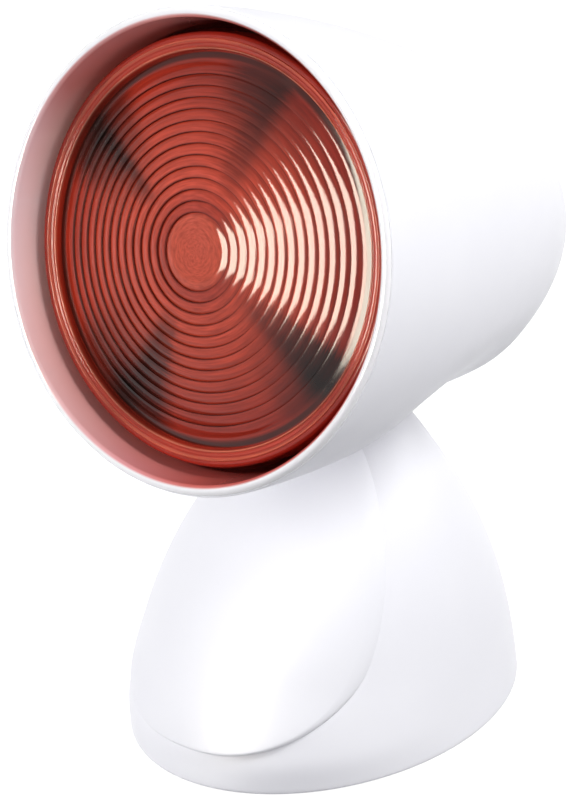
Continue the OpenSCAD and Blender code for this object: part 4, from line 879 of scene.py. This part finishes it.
def metal(name, color, rough, scratch=(1, 1, 30)):
    s = Shader(name, color, rough, metallic=1.0)
    grain = s.noise(60, 5, scratch)
    dark = tuple(c * 0.82 for c in color)
    s.color_from(grain, [(0.3, dark), (0.7, color)])
    s.roughness_from(grain, [(0.25, rough * 0.75), (0.75, min(1.0, rough * 1.35))])
    s.bump(grain, 0.12, 0.00004)
    return s.mat


def matt(name, color, rough, scale=220, depth=0.00008, coat=0.0):
    s = Shader(name, color, rough, coat=coat)
    grain = s.noise(scale, 4)
    dark = tuple(c * 0.88 for c in color)
    s.color_from(s.noise(30, 3), [(0.3, dark), (0.7, color)])
    s.roughness_from(grain, [(0.3, rough * 0.85), (0.7, min(1.0, rough * 1.15))])
    s.bump(grain, 0.25, depth)
    return s.mat


def make_materials():
    steel = metal("steel", (0.6, 0.6, 0.62), 0.32)
    zinc = metal("zinc", (0.55, 0.56, 0.58), 0.38, (1, 1, 1))
    brass = metal("brass", (0.78, 0.58, 0.27), 0.3)
    cap = metal("cap_metal", (0.74, 0.74, 0.75), 0.28)
    mirror = metal("mirror_coat", (0.86, 0.86, 0.87), 0.09, (1, 1, 1))
    tungsten = metal("tungsten", (0.32, 0.31, 0.3), 0.5, (1, 1, 1))
    iron = matt("cast_iron", (0.09, 0.09, 0.095), 0.7, 160, 0.0003)
    ceramic = matt("ceramic", (0.83, 0.81, 0.76), 0.25, 120, 0.00005, 0.4)
    fibre = matt("fibre", (0.3, 0.18, 0.1), 0.8, 500, 0.0002)
    grey = matt("grey_plastic", (0.62, 0.62, 0.64), 0.45)
    rubber = matt("foot_rubber", (0.09, 0.09, 0.095), 0.75, 600, 0.0001)
    silicone = matt("silicone", (0.72, 0.7, 0.64), 0.5, 300, 0.00004)
    black = matt("black_glass", (0.02, 0.02, 0.022), 0.12, 60, 0.00003, 0.5)
    white = white_plastic()
    glass = Shader("clear_glass", (0.9, 0.92, 0.92), 0.05)
    glass.bsdf.inputs["Transmission Weight"].default_value = 0.9
    glass.bump(glass.noise(60, 2), 0.05, 0.0001)
    return {
        "white": white, "red": red_glass(), "liner": liner_plastic(),
        "head_chassis": steel, "holder_ring": steel, "tilt_axle": steel, "axle_nuts": steel,
        "spring_washers": zinc, "chassis_screws": zinc, "leaf_screws": zinc, "post_screws": zinc,
        "base_screws": zinc, "ballast_screws": zinc, "clamp_screws": zinc,
        "holder_sleeve": brass, "holder_contact": brass, "holder_terminals": brass,
        "terminal_screws": brass, "switch_terminals": brass,
        "bulb_skirt": cap, "bulb_cap": cap, "cap_contact": cap, "bulb_reflector": mirror,
        "bulb_filament": tungsten, "filament_supports": glass.mat, "cap_insulator": black,
        "lamp_holder": ceramic, "friction_washers": fibre, "neck_post": grey,
        "base_plate": grey, "cord_clamp": grey, "rubber_feet": rubber, "ballast": iron,
        "lamp_leads": silicone, "stand_leads": silicone, "terminal_block": white,
        "cord_gland": white, "switch_housing": white, "switch_rocker": white,
    }


def paint(ob, mat):
    ob.data.materials.clear()
    ob.data.materials.append(mat)


# ---- Stage and lights ----


def seen_rays(tree):
    """1 for the rays that see the background: from the camera, off a gloss or through a glass."""
    path = tree.nodes.new("ShaderNodeLightPath")
    share = path.outputs["Is Camera Ray"]
    for other in ("Is Glossy Ray", "Is Transmission Ray"):
        most = tree.nodes.new("ShaderNodeMath")
        most.operation = "MAXIMUM"
        tree.links.new(share, most.inputs[0])
        tree.links.new(path.outputs[other], most.inputs[1])
        share = most.outputs[0]
    return share


def add_floor():
    """A floor that reads as white. Its full glow also hides the lamp's shadow from the camera."""
    bpy.ops.mesh.primitive_plane_add(size=8, location=(0, 0, 0))
    floor = bpy.context.object
    floor.name = "floor"
    mat = bpy.data.materials.new("floor")
    mat.use_nodes = True
    tree = mat.node_tree
    tree.nodes.clear()
    out = tree.nodes.new("ShaderNodeOutputMaterial")
    both = tree.nodes.new("ShaderNodeAddShader")
    diffuse = tree.nodes.new("ShaderNodeBsdfDiffuse")
    diffuse.inputs["Color"].default_value = (0.34, 0.34, 0.35, 1)
    glow = tree.nodes.new("ShaderNodeEmission")
    glow.inputs["Color"].default_value = (1, 1, 1, 1)
    tree.links.new(seen_rays(tree), glow.inputs["Strength"])
    tree.links.new(diffuse.outputs[0], both.inputs[0])
    tree.links.new(glow.outputs[0], both.inputs[1])
    tree.links.new(both.outputs[0], out.inputs["Surface"])
    floor.data.materials.append(mat)


def add_world():
    world = bpy.data.worlds.new("world")
    scene.world = world
    world.use_nodes = True
    tree = world.node_tree
    tree.nodes.clear()
    out = tree.nodes.new("ShaderNodeOutputWorld")
    lit = tree.nodes.new("ShaderNodeBackground")
    lit.inputs["Color"].default_value = (0.92, 0.93, 1.0, 1)
    lit.inputs["Strength"].default_value = 0.1
    seen = tree.nodes.new("ShaderNodeBackground")
    seen.inputs["Color"].default_value = (1, 1, 1, 1)
    seen.inputs["Strength"].default_value = 1.0
    mix = tree.nodes.new("ShaderNodeMixShader")
    tree.links.new(seen_rays(tree), mix.inputs["Fac"])
    tree.links.new(lit.outputs[0], mix.inputs[1])
    tree.links.new(seen.outputs[0], mix.inputs[2])
    tree.links.new(mix.outputs[0], out.inputs["Surface"])


def add_light(name, place, target, size, watts, color=(1, 1, 1), diffuse=True, glossy=True):
    data = bpy.data.lights.new(name, "AREA")
    data.shape = "RECTANGLE"
    data.size, data.size_y = size
    data.energy = watts
    data.color = color
    ob = bpy.data.objects.new(name, data)
    ob.location = place
    aim = Vector(target) - Vector(place)
    ob.rotation_euler = aim.to_track_quat("-Z", "Y").to_euler()
    ob.visible_diffuse = diffuse
    ob.visible_glossy = glossy
    scene.collection.objects.link(ob)


def add_lights():
    """Four soft boxes that gloss doesn't show, one behind, and a window that only gloss shows."""
    centre = (0, 0, 0.12)
    add_light("high_right", (1.2, 0.2, 1.5), centre, (1.0, 1.0), 34, glossy=False)
    add_light("front_left", (-1.0, -1.1, 0.6), centre, (0.8, 0.8), 14, glossy=False)
    add_light("front_right", (0.6, -1.3, 0.7), (0, -0.1, 0.16), (0.8, 0.8), 5, glossy=False)
    add_light("low_left", (-1.1, -0.8, 0.25), centre, (0.8, 0.5), 3.5, glossy=False)
    add_light("back", (-0.3, 1.4, 1.0), centre, (1.2, 0.9), 5)
    add_light("window", (0.0, -1.34, 0.447), (0.0, -0.07, 0.166), (0.75, 0.92), 80,
              (1.0, 0.93, 0.78), diffuse=False)


add_camera()
paints = make_materials()
for made in (make_shade(), make_stand(), make_leaf()):
    paint(made, paints["white"])
paint(make_liner(), paints["liner"])
paint(make_lens(), paints["red"])
for name, ob in nodes.items():
    if name in paints:
        paint(ob, paints[name])
add_floor()
add_world()
add_lights()
